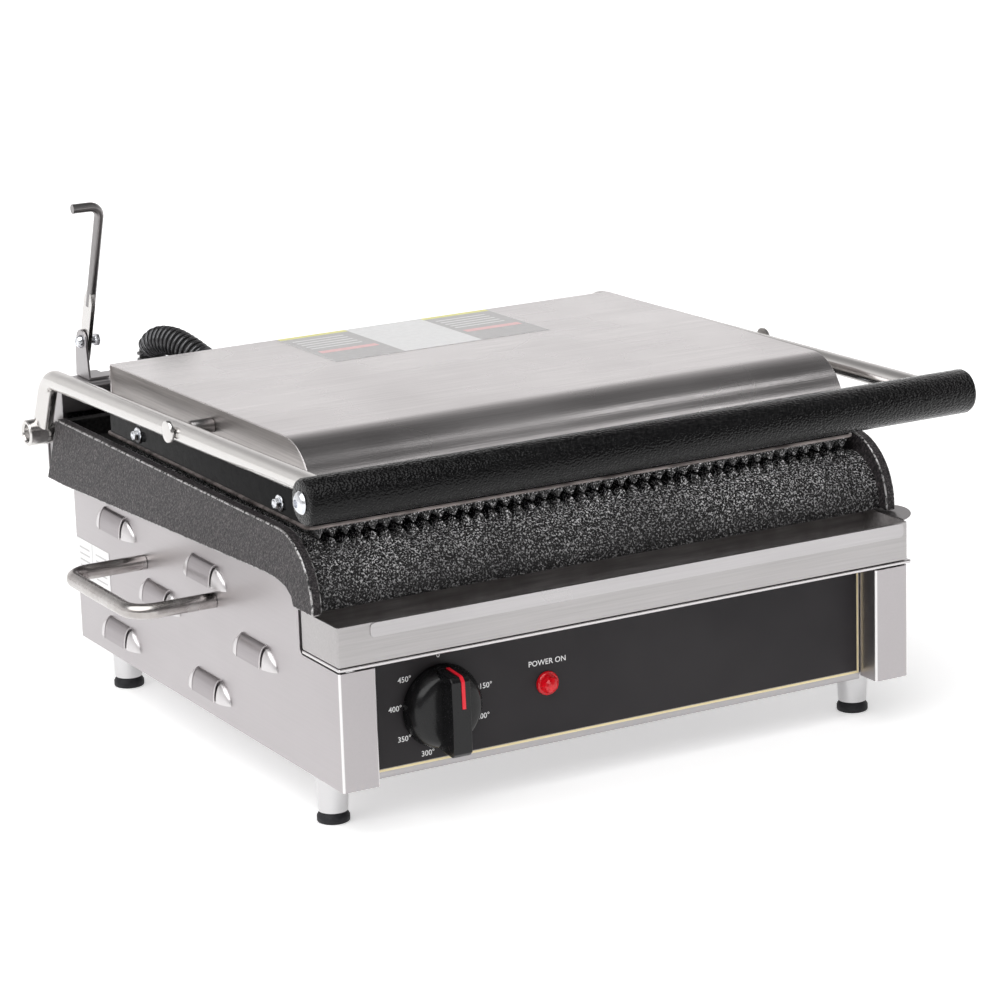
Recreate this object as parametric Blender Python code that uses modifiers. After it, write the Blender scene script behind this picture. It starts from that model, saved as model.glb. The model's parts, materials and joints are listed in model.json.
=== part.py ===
"""Countertop contact grill: two grooved plates, the upper one on a hinged arm frame.

Everything is laid out in the grill's own frame (metres, +X right, +Y back, +Z up, Z = 0 on the
counter) and hangs from one empty, which puts the middle of the whole footprint at the origin.
"""
import math

import bmesh
import bpy
from mathutils import Matrix, Vector

# ---------------------------------------------------------------- driving dimensions
GAP = 0.0003
SHEET = 0.0015

BODY_HALF = 0.192
BODY_FRONT = -0.185
BODY_REAR = 0.185
BODY_BOTTOM = 0.030
SIDE_TOP = 0.144
POST_WIDTH = 0.0235
PANEL_FRONT = -0.168
PANEL_BOTTOM = 0.0275
PANEL_TOP = 0.1002

SHELF_BOTTOM = 0.1006
SHELF_TOP = 0.1026
SHELF_BACK = -0.1388
TRAY_TOP = 0.1265
TRAY_WALL = 0.0012
TRAY_SLIDE_BACK = -0.1391

LEG_FRONT_X = 0.179
LEG_FRONT_Y = -0.144
LEG_REAR_X = 0.172
LEG_REAR_Y = 0.159
FOOT_HEIGHT = 0.0055

LOUVRE_HALF = (0.0060, 0.0290, 0.0132)
LOUVRE_SKIN = 0.0012
LOUVRE_RUN = ((-1, 0.12), (-0.9, 0.42), (-0.72, 0.74), (-0.52, 0.97), (-0.45, 1),
              (0.45, 1), (0.52, 0.97), (0.72, 0.74), (0.9, 0.42), (1, 0.12))
LOUVRE_PLACES = ((0.1176, 0.1134), (-0.0126, 0.1134), (0.0565, 0.0812),
                 (-0.0775, 0.0804), (0.1190, 0.0420), (-0.0115, 0.0424))

GRIDDLE_HALF = 0.197
GRIDDLE_SKIRT_IN = 0.1924
GRIDDLE_RIM_TOP = 0.172
GRIDDLE_BOTTOM = 0.129
GRIDDLE_UNDER = 0.1445
RIM_ARC = (-0.125, 0.132, 0.040)
APRON_ARC = (-0.128, 0.130, 0.030)
APRON_WALL = 0.007

TEETH = 42
TEETH_PITCH = 0.00865
TOOTH_HEIGHT = 0.0044
LOWER_TIP_Z = 0.1640
UPPER_TIP_Z = 0.1652
TEETH_FRONT = -0.1375
TEETH_REAR = 0.136

HINGE_Y = 0.211
HINGE_Z = 0.161
SHAFT_R = 0.005
BOSS_R = 0.0085
BOSS_OUT = 0.211
BOSS_IN = 0.1925
ARM_X = 0.200
ARM_Z = 0.205
ARM_FRONT_Z = 0.2088
ARM_REAR_Z = 0.1991
ARM_R = 0.00635
ARM_BEND_Y = 0.193
ARM_BEND_R = 0.020
HINGE_COVER_HALF = 0.190
HINGE_COVER_REAR = 0.2285
HINGE_COVER_TOP = 0.190
HINGE_COVER_BOTTOM = 0.1315

HANDLE_Y = -0.1966
HANDLE_R = 0.01325
HANDLE_LEFT = -0.216
HANDLE_RIGHT = 0.2255

PIVOT_Y = -0.005
PIN_R = 0.0035
PIN_HEAD_R = 0.0068

SHELL_HALF = 0.1835
SHELL_FRONT = -0.1385
SHELL_REAR = 0.141
SHELL_BOTTOM = 0.1715
SHELL_TOP = 0.1945
COVER_HALF = 0.180
COVER_FRONT = -0.1366
COVER_REAR = 0.143
COVER_TOP_FRONT = 0.2188
COVER_TOP_REAR = 0.2148
COVER_BOTTOM = 0.1905
COVER_SHEET = 0.0012
COVER_CURVE = 0.033

KNOB_X = -0.120
LAMP_X = -0.050
CONTROL_Z = 0.065

LEVER_Y = 0.2165
LEVER_Z = 0.2140
LEVER_X = -0.1640
LEVER_LEAN = math.radians(20)
LEVER_LENGTH = 0.0990

CONDUIT_R = 0.0085
SIDE_HANDLE_Z = 0.104

FRAME_SHIFT_Y = -(HANDLE_Y - HANDLE_R + HINGE_COVER_REAR) / 2

FACING_X = (math.pi / 2, 0, math.pi / 2)
FACING_Y = (math.pi / 2, 0, 0)
FLAT = (0, 0, 0)

# ---------------------------------------------------------------- scene and materials
for old in list(bpy.data.objects):
    bpy.data.objects.remove(old, do_unlink=True)

grill = bpy.data.collections.new("contact_grill")
tools = bpy.data.collections.new("cutters")
for group in (grill, tools):
    bpy.context.scene.collection.children.link(group)


def empty(name, place, parent=None):
    point = bpy.data.objects.new(name, None)
    point.location = place
    point.parent = parent
    grill.objects.link(point)
    return point


frame = empty("grill_frame", (0, FRAME_SHIFT_Y, 0))


def material(name, colour, roughness, metallic):
    made = bpy.data.materials.new(name)
    made.use_nodes = True
    shader = made.node_tree.nodes["Principled BSDF"]
    shader.inputs["Base Color"].default_value = (*colour, 1)
    shader.inputs["Roughness"].default_value = roughness
    shader.inputs["Metallic"].default_value = metallic
    return made


STAINLESS = material("brushed_stainless", (0.62, 0.60, 0.59), 0.32, 1.0)
COVER_STEEL = material("cover_stainless", (0.66, 0.64, 0.63), 0.30, 1.0)
BRIGHT = material("polished_steel", (0.78, 0.76, 0.73), 0.16, 1.0)
CAST = material("cast_iron_enamel", (0.055, 0.055, 0.058), 0.50, 0.25)
BLACK_GLOSS = material("black_gloss_enamel", (0.012, 0.012, 0.013), 0.16, 0.0)
HANDLE_COAT = material("handle_powder_coat", (0.015, 0.015, 0.016), 0.28, 0.0)
OVERLAY = material("panel_overlay", (0.030, 0.028, 0.030), 0.45, 0.0)
BLACK_PLASTIC = material("black_plastic", (0.020, 0.020, 0.021), 0.40, 0.0)
RED_LENS = material("red_lens", (0.72, 0.02, 0.03), 0.12, 0.0)
RUBBER = material("foot_rubber", (0.018, 0.018, 0.020), 0.60, 0.0)
ZINC = material("zinc_plate", (0.72, 0.74, 0.78), 0.22, 1.0)
HEATER = material("heater_sheath", (0.20, 0.19, 0.18), 0.45, 1.0)
WOOL = material("insulation_wool", (0.72, 0.70, 0.62), 0.95, 0.0)
CERAMIC = material("terminal_ceramic", (0.82, 0.80, 0.74), 0.55, 0.0)
SPRING_STEEL = material("spring_steel", (0.30, 0.30, 0.31), 0.35, 1.0)
CONDUIT = material("conduit_black", (0.020, 0.020, 0.022), 0.35, 0.4)


# ---------------------------------------------------------------- builders
def finish(shape, coat, parent=frame, smooth=True):
    shape.data.materials.clear()
    shape.data.materials.append(coat)
    shape.parent = parent
    grill.objects.link(shape)
    if smooth and shape.type == "MESH":
        shape.data.shade_smooth()
        shape.data.set_sharp_from_angle(angle=math.radians(35))
    return shape


def helper(shape, parent=frame):
    shape.parent = parent
    shape.hide_render = True
    shape.display_type = "WIRE"
    tools.objects.link(shape)
    return shape


def from_bmesh(name, work):
    mesh = bpy.data.meshes.new(name)
    work.to_mesh(mesh)
    work.free()
    return bpy.data.objects.new(name, mesh)


def box(name, low, high):
    low = Vector(low)
    high = Vector(high)
    work = bmesh.new()
    bmesh.ops.create_cube(work, size=1.0)
    bmesh.ops.scale(work, vec=high - low, verts=work.verts)
    shape = from_bmesh(name, work)
    shape.location = (low + high) / 2
    return shape


def rod(name, radius, start, end, sides=24, radius_end=None):
    start = Vector(start)
    end = Vector(end)
    work = bmesh.new()
    bmesh.ops.create_cone(work, cap_ends=True, segments=sides, radius1=radius,
                          radius2=radius if radius_end is None else radius_end,
                          depth=(end - start).length)
    shape = from_bmesh(name, work)
    shape.location = (start + end) / 2
    shape.rotation_euler = (end - start).to_track_quat("Z", "Y").to_euler()
    return shape


def solid_from_curve(shape):
    """Mesh copy of a curve, with its caps welded on."""
    bpy.context.scene.collection.objects.link(shape)
    bpy.context.view_layer.update()
    seen = shape.evaluated_get(bpy.context.evaluated_depsgraph_get())
    mesh = bpy.data.meshes.new_from_object(seen)
    place = shape.matrix_world.copy()
    name = shape.name
    bpy.data.objects.remove(shape, do_unlink=True)
    work = bmesh.new()
    work.from_mesh(mesh)
    bmesh.ops.remove_doubles(work, verts=work.verts, dist=0.00001)
    bmesh.ops.recalc_face_normals(work, faces=work.faces)
    work.to_mesh(mesh)
    work.free()
    solid = bpy.data.objects.new(name, mesh)
    solid.matrix_world = place
    return solid


def add_spline(curve, points, closed):
    spline = curve.splines.new("POLY")
    spline.points.add(len(points) - 1)
    for slot, point in zip(spline.points, points):
        slot.co = (*point, 1) if len(point) == 3 else (*point, 0, 1)
    spline.use_cyclic_u = closed


def slab(name, outlines, low, high, facing=FLAT):
    """Flat outline, pushed along its facing axis from low to high."""
    curve = bpy.data.curves.new(name, "CURVE")
    curve.dimensions = "2D"
    curve.fill_mode = "BOTH"
    curve.extrude = (high - low) / 2
    for outline in outlines:
        add_spline(curve, outline, True)
    shape = bpy.data.objects.new(name, curve)
    middle = (high + low) / 2
    shape.rotation_euler = facing
    shape.location = {FLAT: (0, 0, middle), FACING_X: (middle, 0, 0), FACING_Y: (0, middle, 0)}[facing]
    return solid_from_curve(shape)


def tube(name, points, radius, detail=4):
    curve = bpy.data.curves.new(name, "CURVE")
    curve.dimensions = "3D"
    curve.bevel_depth = radius
    curve.bevel_resolution = detail
    curve.use_fill_caps = True
    add_spline(curve, points, False)
    return solid_from_curve(bpy.data.objects.new(name, curve))


def turned(name, profile, start, toward, sides=20):
    """Profile of (radius, distance) pairs spun about the line from start toward a direction."""
    work = bmesh.new()
    corners = [work.verts.new((radius, 0, along)) for radius, along in profile]
    for first, second in zip(corners, corners[1:]):
        work.edges.new((first, second))
    shape = from_bmesh(name, work)
    screw = shape.modifiers.new("turn", "SCREW")
    screw.steps = sides
    screw.render_steps = sides
    screw.use_merge_vertices = True
    screw.merge_threshold = 0.00001
    screw.use_smooth_shade = True
    shape.location = start
    shape.rotation_euler = Vector(toward).to_track_quat("Z", "Y").to_euler()
    return shape


def combine(shape, other, how):
    change = shape.modifiers.new(how.lower(), "BOOLEAN")
    change.operation = how
    change.solver = "EXACT"
    change.object = other
    return shape


def cut(shape, *others, parent=frame):
    for other in others:
        combine(shape, helper(other, parent), "DIFFERENCE")
    return shape


def join(shape, *others, parent=frame):
    for other in others:
        combine(shape, helper(other, parent), "UNION")
    return shape


def soften(shape, width, segments=2, angle=40):
    edge = shape.modifiers.new("edge", "BEVEL")
    edge.width = width
    edge.segments = segments
    edge.limit_method = "ANGLE"
    edge.angle_limit = math.radians(angle)
    return shape


def arc(middle, radius, start, end, steps):
    """Points on an arc of a circle, angles in degrees."""
    turns = [math.radians(start + (end - start) * i / steps) for i in range(steps + 1)]
    return [(middle[0] + radius * math.cos(a), middle[1] + radius * math.sin(a)) for a in turns]


def rounded(half_x, low_y, high_y, radius, steps=4):
    """Rounded rectangle, symmetric about x = 0."""
    points = []
    for x, y, start in ((half_x, high_y, 0), (-half_x, high_y, 90), (-half_x, low_y, 180), (half_x, low_y, 270)):
        middle = (x - math.copysign(radius, x), y - math.copysign(radius, y - (low_y + high_y) / 2))
        points += arc(middle, radius, start, start + 90, steps)
    return points


def smooth_route(points, steps):
    """Catmull-Rom points through a route."""
    points = [Vector(p) for p in points]
    ends = [2 * points[0] - points[1]] + points + [2 * points[-1] - points[-2]]
    route = []
    for i in range(1, len(ends) - 2):
        a, b, c, d = ends[i - 1:i + 3]
        for step in range(steps):
            t = step / steps
            route.append(0.5 * (2 * b + (c - a) * t + (2 * a - 5 * b + 4 * c - d) * t * t
                                + (3 * b - a - 3 * c + d) * t ** 3))
    route.append(points[-1])
    return route


def bent_route(points, radius, steps=5):
    """Straight runs through the points, with round bends of one radius between them."""
    points = [Vector(p) for p in points]
    route = [points[0]]
    for before, corner, after in zip(points, points[1:], points[2:]):
        come = (before - corner).normalized()
        leave = (after - corner).normalized()
        half = come.angle(leave) / 2
        reach = radius / math.tan(half)
        middle = corner + (come + leave).normalized() * radius / math.sin(half)
        first = corner + come * reach - middle
        last = corner + leave * reach - middle
        whole = first.angle(last)
        axis = first.cross(last).normalized()
        for step in range(steps + 1):
            route.append(middle + Matrix.Rotation(whole * step / steps, 3, axis) @ first)
    route.append(points[-1])
    return route


SIDES = (("left", -1), ("right", 1))


# ---------------------------------------------------------------- body
def louvre_scoops(name, side, half, skin_face, reach):
    """Quarter-round hoods with sloping ends, open side down, for one side panel."""
    work = bmesh.new()
    deep, long, high = half
    steps = 6
    for y, z in LOUVRE_PLACES:
        rings = []
        for along, size in LOUVRE_RUN:
            turns = [math.radians(90 * i / steps) for i in range(steps + 1)]
            points = [(deep * size * math.cos(t), high * size * math.sin(t)) for t in turns]
            points += [(-reach - 0.0002, high * size), (-reach - 0.0002, 0)]
            rings.append([work.verts.new((skin_face + side * out, y + along * long, z + up)) for out, up in points])
        for first, second in zip(rings, rings[1:]):
            for i in range(len(first)):
                j = (i + 1) % len(first)
                work.faces.new((first[i], first[j], second[j], second[i]))
        work.faces.new(rings[0])
        work.faces.new(rings[-1])
    bmesh.ops.recalc_face_normals(work, faces=work.faces)
    return from_bmesh(name, work)


def side_panel(word, side):
    outer = [(0.180, BODY_REAR), (BODY_HALF, BODY_REAR), (BODY_HALF, BODY_FRONT),
             (BODY_HALF - POST_WIDTH, BODY_FRONT), (BODY_HALF - POST_WIDTH, PANEL_FRONT - 0.0005)]
    inner = [(BODY_HALF - POST_WIDTH - SHEET, PANEL_FRONT - 0.0005),
             (BODY_HALF - POST_WIDTH - SHEET, BODY_FRONT + SHEET), (BODY_HALF - SHEET, BODY_FRONT + SHEET),
             (BODY_HALF - SHEET, BODY_REAR - SHEET), (0.180, BODY_REAR - SHEET)]
    # The return bends toward the middle, so its inner line lies on the post's side.
    inner[0] = (BODY_HALF - POST_WIDTH + SHEET, PANEL_FRONT - 0.0005)
    inner[1] = (BODY_HALF - POST_WIDTH + SHEET, BODY_FRONT + SHEET)
    outline = [(side * x, y) for x, y in outer + inner]
    panel = slab(f"side_panel_{word}", [outline], BODY_BOTTOM, SIDE_TOP)
    notch = box(f"tray_notch_{word}", (-0.3, -0.3, SHELF_BOTTOM - GAP), (0.3, SHELF_BACK + GAP, 0.2))
    cut(panel, notch)
    skin_face = side * (BODY_HALF - SHEET * 0.6)
    hoods = louvre_scoops(f"louvre_hoods_{word}", side, LOUVRE_HALF, skin_face, 0)
    thin = [size - LOUVRE_SKIN for size in LOUVRE_HALF]
    mouths = louvre_scoops(f"louvre_mouths_{word}", side, thin, skin_face, 0.003)
    join(panel, hoods)
    cut(panel, mouths)
    return finish(panel, STAINLESS)


def body():
    for word, side in SIDES:
        side_panel(word, side)
    back = box("back_panel", (-0.180 + GAP, BODY_REAR - SHEET, BODY_BOTTOM), (0.180 - GAP, BODY_REAR, SIDE_TOP))
    cut(back, rod("gland_hole", 0.0095, (0.10, BODY_REAR - 0.01, 0.055), (0.10, BODY_REAR + 0.01, 0.055)))
    finish(back, STAINLESS)
    inside = BODY_HALF - SHEET - GAP
    floor = box("bottom_plate", (-inside, PANEL_FRONT + SHEET + GAP, BODY_BOTTOM),
                (inside, BODY_REAR - SHEET - GAP, BODY_BOTTOM + SHEET))
    finish(floor, STAINLESS)
    shelf = box("front_shelf", (-BODY_HALF, BODY_FRONT, SHELF_BOTTOM), (BODY_HALF, SHELF_BACK, SHELF_TOP))
    riser = slab("shelf_riser", [[(SHELF_BACK - 0.001, SHELF_BOTTOM), (SHELF_BACK + 0.0035, SHELF_BOTTOM),
                                  (SHELF_BACK + 0.0035, SIDE_TOP - 0.001), (SHELF_BACK + 0.002, SIDE_TOP - 0.001),
                                  (SHELF_BACK + 0.002, SHELF_TOP), (SHELF_BACK - 0.001, SHELF_TOP)]],
                 -inside, inside, FACING_X)
    finish(join(shelf, riser), STAINLESS)


def control_panel():
    profile = [(PANEL_FRONT, PANEL_BOTTOM), (PANEL_FRONT, PANEL_TOP), (PANEL_FRONT + SHEET, PANEL_TOP),
               (PANEL_FRONT + SHEET, PANEL_BOTTOM + SHEET), (PANEL_FRONT + 0.010, PANEL_BOTTOM + SHEET),
               (PANEL_FRONT + 0.010, PANEL_BOTTOM)]
    half = BODY_HALF - POST_WIDTH - GAP
    panel = slab("control_panel", [profile], -half, half, FACING_X)
    holes = [(KNOB_X, 0.0045), (LAMP_X, 0.0050)]
    for i, (x, radius) in enumerate(holes):
        cut(panel, rod(f"panel_hole_{i}", radius, (x, -0.180, CONTROL_Z), (x, -0.150, CONTROL_Z)))
    finish(panel, OVERLAY)


def grease_tray():
    slide = empty("tray_slide", (0, TRAY_SLIDE_BACK, SHELF_TOP), frame)
    work = bmesh.new()
    bmesh.ops.create_cube(work, size=1.0)
    size = Vector((2 * BODY_HALF, TRAY_SLIDE_BACK - BODY_FRONT, TRAY_TOP - SHELF_TOP - GAP))
    bmesh.ops.scale(work, vec=size, verts=work.verts)
    lid = [face for face in work.faces if face.normal.z > 0.5]
    bmesh.ops.delete(work, geom=lid, context="FACES_ONLY")
    tray = from_bmesh("grease_tray", work)
    tray.location = (0, -size.y / 2, GAP + size.z / 2)
    wall = tray.modifiers.new("wall", "SOLIDIFY")
    wall.thickness = TRAY_WALL
    wall.offset = -1
    front = -size.y
    hem = box("tray_hem", (-0.172, front - 0.0010, 0.0152), (0.1885, front + 0.0008, 0.0222))
    wing = box("tray_wing", (-0.0060, -0.0155, -0.0006), (0.0060, 0.0155, 0.0006))
    wing.location = (0.1975, front + 0.0195, TRAY_TOP - SHELF_TOP + 0.0002)
    wing.rotation_euler = (0, -math.radians(12), 0)
    join(tray, hem, wing, parent=slide)
    finish(tray, STAINLESS, slide)


def legs_and_feet():
    for depth, x, y in (("front", LEG_FRONT_X, LEG_FRONT_Y), ("rear", LEG_REAR_X, LEG_REAR_Y)):
        for word, side in SIDES:
            top = BODY_BOTTOM - GAP
            profile = [(0, top), (0.0108, top), (0.0106, 0.024), (0.0092, 0.0072), (0.0084, FOOT_HEIGHT + GAP),
                       (0.0040, FOOT_HEIGHT + GAP), (0.0040, 0.0215), (0, 0.0215)]
            finish(turned(f"leg_{depth}_{word}", profile, (side * x, y, 0), (0, 0, 1)), BRIGHT)
            screw = empty(f"foot_screw_{depth}_{word}", (side * x, y, 0), frame)
            profile = [(0, 0.018), (0.0034, 0.018), (0.0034, FOOT_HEIGHT), (0.0080, FOOT_HEIGHT),
                       (0.0096, 0.0035), (0.0096, 0.0008), (0.0088, 0), (0, 0)]
            finish(turned(f"foot_{depth}_{word}", profile, (0, 0, 0), (0, 0, 1)), RUBBER, screw)


def side_handles():
    for word, side in SIDES:
        reach = side * 0.2435
        root = side * (BODY_HALF + GAP)
        route = bent_route([(root, 0.077, SIDE_HANDLE_Z), (reach, 0.077, SIDE_HANDLE_Z),
                            (reach, -0.023, SIDE_HANDLE_Z), (root, -0.023, SIDE_HANDLE_Z)], 0.014)
        finish(tube(f"side_handle_{word}", route, 0.0047, 4), BRIGHT)


# ---------------------------------------------------------------- lower plate
def teeth_outline(tip_z, base_z, close_z):
    """Saw-tooth line across the plate, closed through close_z."""
    half = TEETH * TEETH_PITCH / 2
    line = []
    for i in range(TEETH):
        left = -half + i * TEETH_PITCH
        line += [(left + 0.0008, base_z), (left + TEETH_PITCH / 2 - 0.0004, tip_z),
                 (left + TEETH_PITCH / 2 + 0.0004, tip_z)]
    line.append((half - 0.0008, base_z))
    return line + [(half - 0.0008, close_z), (-half + 0.0008, close_z)]


def lower_griddle():
    y, z, radius = RIM_ARC
    rim = [(0.2145, GRIDDLE_BOTTOM), (0.194, GRIDDLE_RIM_TOP - 0.0005)]
    rim += arc((y, z), radius, 90, 180, 10)
    rim += [(y - radius, GRIDDLE_BOTTOM), (-0.1405, GRIDDLE_BOTTOM), (-0.1382, 0.1345), (-0.1320, 0.1385),
            (-0.1200, 0.1408), (-0.105, 0.1412)]
    casting = slab("lower_griddle", [rim], -GRIDDLE_HALF, -GRIDDLE_SKIRT_IN, FACING_X)
    right = slab("griddle_right_rim", [rim], GRIDDLE_SKIRT_IN, GRIDDLE_HALF, FACING_X)
    rear = box("griddle_rear_rim", (-0.1950, BODY_REAR + 0.0006, GRIDDLE_UNDER), (0.1950, 0.1935, 0.1712))
    inner = [(0.1930, 0.1500), (0.1930, 0.1712)] + arc((y, z), radius - 0.0012, 90, 150, 6) + [(-0.150, 0.1500)]
    walls = [slab(f"griddle_wall_{word}", [inner], *sorted((side * 0.1895, side * 0.1950)), FACING_X)
             for word, side in SIDES]
    bed_top = LOWER_TIP_Z - TOOTH_HEIGHT
    bed = box("griddle_bed", (-0.1945, TEETH_FRONT, GRIDDLE_UNDER), (0.1945, 0.190, bed_top))
    teeth = slab("griddle_teeth", [teeth_outline(LOWER_TIP_Z, bed_top, bed_top - 0.004)],
                 TEETH_FRONT + 0.0003, TEETH_REAR, FACING_Y)
    y, z, radius = APRON_ARC
    apron_line = arc((y, z), radius, 90, 180, 10) + arc((y, z), radius - APRON_WALL, 180, 90, 8)
    apron = slab("griddle_apron", [apron_line], -0.1950, 0.1950, FACING_X)
    join(casting, right, rear, *walls, bed, teeth, apron)
    finish(casting, CAST)


def heating_element(name, z, radius, parent, half_x, low_y, high_y, tail):
    """Serpentine tubular heater with both ends turned up or down."""
    runs = 4
    pitch = (high_y - low_y) / (runs - 1)
    points = [(-half_x, low_y, z + tail), (-half_x, low_y, z)]
    for run in range(runs):
        y = low_y + run * pitch
        ends = (-half_x, half_x) if run % 2 == 0 else (half_x, -half_x)
        if run:
            points.append((ends[0], y, z))
        points.append((ends[1], y, z))
    points.append((points[-1][0], points[-1][1], z + tail))
    route = bent_route(points, 0.009, 4)
    return finish(tube(name, route, radius, 2), HEATER, parent)


def heaters_and_wiring():
    heating_element("lower_heating_element", 0.1392, 0.0040, frame, 0.150, -0.110, 0.140, -0.020)
    clamp = box("lower_element_clamp", (-0.155, 0.005, 0.1320), (0.155, 0.025, 0.1345))
    finish(clamp, STAINLESS)
    body_box = box("thermostat", (KNOB_X - 0.022, PANEL_FRONT + SHEET + GAP, CONTROL_Z - 0.019),
                   (KNOB_X + 0.022, -0.136, CONTROL_Z + 0.019))
    stem = rod("thermostat_stem", 0.0030, (KNOB_X, -0.1835, CONTROL_Z), (KNOB_X, -0.150, CONTROL_Z), 16)
    finish(join(soften(body_box, 0.002), stem), ZINC)
    capillary = smooth_route([(KNOB_X + 0.008, -0.1355, 0.070), (KNOB_X + 0.010, -0.120, 0.076),
                              (KNOB_X + 0.030, -0.100, 0.100), (KNOB_X + 0.050, -0.070, 0.126),
                              (KNOB_X + 0.062, -0.050, 0.1385)], 5)
    bulb = tube("thermostat_bulb", capillary, 0.0012, 2)
    probe = rod("bulb_probe", 0.0032, (KNOB_X + 0.062, -0.051, 0.1385), (KNOB_X + 0.130, -0.051, 0.1385), 16)
    finish(join(bulb, probe), ZINC)
    block = box("terminal_block", (0.060, 0.120, BODY_BOTTOM + SHEET + GAP), (0.110, 0.145, 0.052))
    for i in range(3):
        x = 0.068 + 0.0155 * i
        cut(block, box(f"terminal_slot_{i}", (x, 0.115, 0.044), (x + 0.010, 0.150, 0.060)))
    finish(block, CERAMIC)


# ---------------------------------------------------------------- controls
def control_knob():
    turn = empty("knob_turn", (KNOB_X, PANEL_FRONT, CONTROL_Z), frame)
    profile = [(0, 0.0135), (0.0190, 0.0135), (0.0215, 0.0115), (0.0245, 0.0045), (0.0248, GAP),
               (0.0042, GAP), (0.0042, 0.0010), (0.0034, 0.0010), (0.0034, 0.0120), (0, 0.0120)]
    knob = turned("control_knob", profile, (0, 0, 0), (0, -1, 0), 24)
    grip = box("knob_grip", (-0.0062, -0.0262, -0.0245), (0.0062, -0.0125, 0.0240))
    soften(grip, 0.0016)
    bore = rod("knob_bore", 0.0034, (0, -0.0172, 0), (0, -0.010, 0), 16)
    join(knob, grip, parent=turn)
    cut(knob, bore, parent=turn)
    finish(knob, BLACK_PLASTIC, turn)


def indicator_lamp():
    face = PANEL_FRONT
    profile = [(0, 0.0260), (0.0044, 0.0260), (0.0044, -0.0004), (0, -0.0004)]
    holder = turned("lamp_body", profile, (LAMP_X, face, CONTROL_Z), (0, 1, 0), 20)
    finish(holder, BLACK_PLASTIC)
    profile = [(0, 0.0075), (0.0030, 0.0070), (0.0056, 0.0048), (0.0068, 0.0016), (0.0070, GAP), (0.0048, GAP),
               (0.0048, 0.0010), (0, 0.0010)]
    finish(turned("lamp_lens", profile, (LAMP_X, face, CONTROL_Z), (0, -1, 0), 12), RED_LENS, smooth=False)


# ---------------------------------------------------------------- hinge
def hinge():
    face = BODY_REAR + SHEET + GAP
    low = HINGE_COVER_BOTTOM
    top = HINGE_COVER_TOP
    rear = HINGE_COVER_REAR
    outside = [(0.1990, 0.1735), (0.1990, top), (rear, top), (rear, low), (0.1955, low)]
    inside = [(0.1955, low + SHEET), (rear - SHEET, low + SHEET), (rear - SHEET, top - SHEET),
              (0.1990 + SHEET, top - SHEET), (0.1990 + SHEET, 0.1735)]
    cover = slab("hinge_cover", [outside + inside], -HINGE_COVER_HALF, HINGE_COVER_HALF, FACING_X)
    flange = slab("hinge_cover_flange", [[(0.1975, low + 0.0010), (face, low + 0.0010), (face, 0.0800),
                                          (face + SHEET, 0.0800), (face + SHEET, low), (0.1975, low)]],
                  -0.160, 0.160, FACING_X)
    finish(join(cover, flange), STAINLESS)
    shaft = rod("hinge_shaft", SHAFT_R, (-0.207, HINGE_Y, HINGE_Z), (0.207, HINGE_Y, HINGE_Z), 24)
    finish(shaft, BRIGHT)
    plate = [(0.2012, 0.1880), (0.2265, 0.1880), (0.2265, 0.1335), (0.1970, 0.1335), (0.1970, 0.1480),
             (0.2012, 0.1570)]
    for word, side in SIDES:
        low, high = sorted((side * 0.1890, side * 0.1860))
        bearing = slab(f"hinge_bearing_{word}", [plate], low, high, FACING_X)
        cut(bearing, rod(f"bearing_bore_{word}", SHAFT_R + 0.0001, (side * 0.18, HINGE_Y, HINGE_Z),
                         (side * 0.20, HINGE_Y, HINGE_Z), 24))
        finish(bearing, STAINLESS)
        turns, steps = 4, 9
        coil = []
        for i in range(turns * steps + 1):
            angle = 2 * math.pi * i / steps
            x = side * (0.1780 - 0.0042 * i / steps)
            coil.append((x, HINGE_Y + 0.0072 * math.cos(angle), HINGE_Z + 0.0072 * math.sin(angle)))
        first = coil[0]
        coil = [(first[0], first[1], first[2] - 0.022)] + coil + [(coil[-1][0], coil[-1][1], coil[-1][2] - 0.022)]
        finish(tube(f"torsion_spring_{word}", coil, 0.0013, 2), SPRING_STEEL)


def lever():
    tab = [(0.2065, HINGE_COVER_TOP + GAP), (0.2275, HINGE_COVER_TOP + GAP), (0.2262, LEVER_Z)]
    tab += arc((LEVER_Y, LEVER_Z), 0.0077, 0, 180, 8) + [(0.2108, LEVER_Z - 0.002)]
    low = LEVER_X - 0.0035
    bracket = slab("lever_bracket", [tab], low, low + SHEET, FACING_X)
    foot = box("lever_bracket_foot", (low, 0.2065, HINGE_COVER_TOP + GAP), (low + 0.014, 0.2275, 0.1918))
    join(bracket, foot)
    cut(bracket, rod("bracket_hole", 0.0027, (low - 0.01, LEVER_Y, LEVER_Z), (low + 0.01, LEVER_Y, LEVER_Z), 16))
    finish(bracket, STAINLESS)
    pivot = empty("lever_pivot", (LEVER_X, LEVER_Y, LEVER_Z), frame)
    pivot.rotation_euler = (LEVER_LEAN, 0, 0)
    strap = [(-0.0060, 0.030), (-0.0060, -0.005)] + arc((0, -0.009), 0.0060, 180, 360, 6)[1:]
    strap += [(0.0060, 0.030), (0.0030, 0.036), (-0.0030, 0.036)]
    arm = slab("lock_lever", [strap], -0.0015, 0.0015, FACING_X)
    rod_route = bent_route([(0.0008, 0, 0.026), (0.0008, 0, LEVER_LENGTH), (-0.0180, 0, LEVER_LENGTH)], 0.007, 5)
    join(arm, tube("lever_rod", rod_route, 0.0026, 3), parent=pivot)
    cut(arm, rod("lever_bore", 0.0027, (-0.01, 0, 0), (0.01, 0, 0), 16), parent=pivot)
    finish(arm, STAINLESS, pivot)
    profile = [(0, 0.0125), (0.0040, 0.0125), (0.0040, 0.0090), (0.0024, 0.0090), (0.0024, 0),
               (0.0042, 0), (0.0034, -0.0024), (0, -0.0030)]
    finish(turned("lever_screw", profile, (low - GAP, LEVER_Y, LEVER_Z), (1, 0, 0), 16), ZINC)


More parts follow.
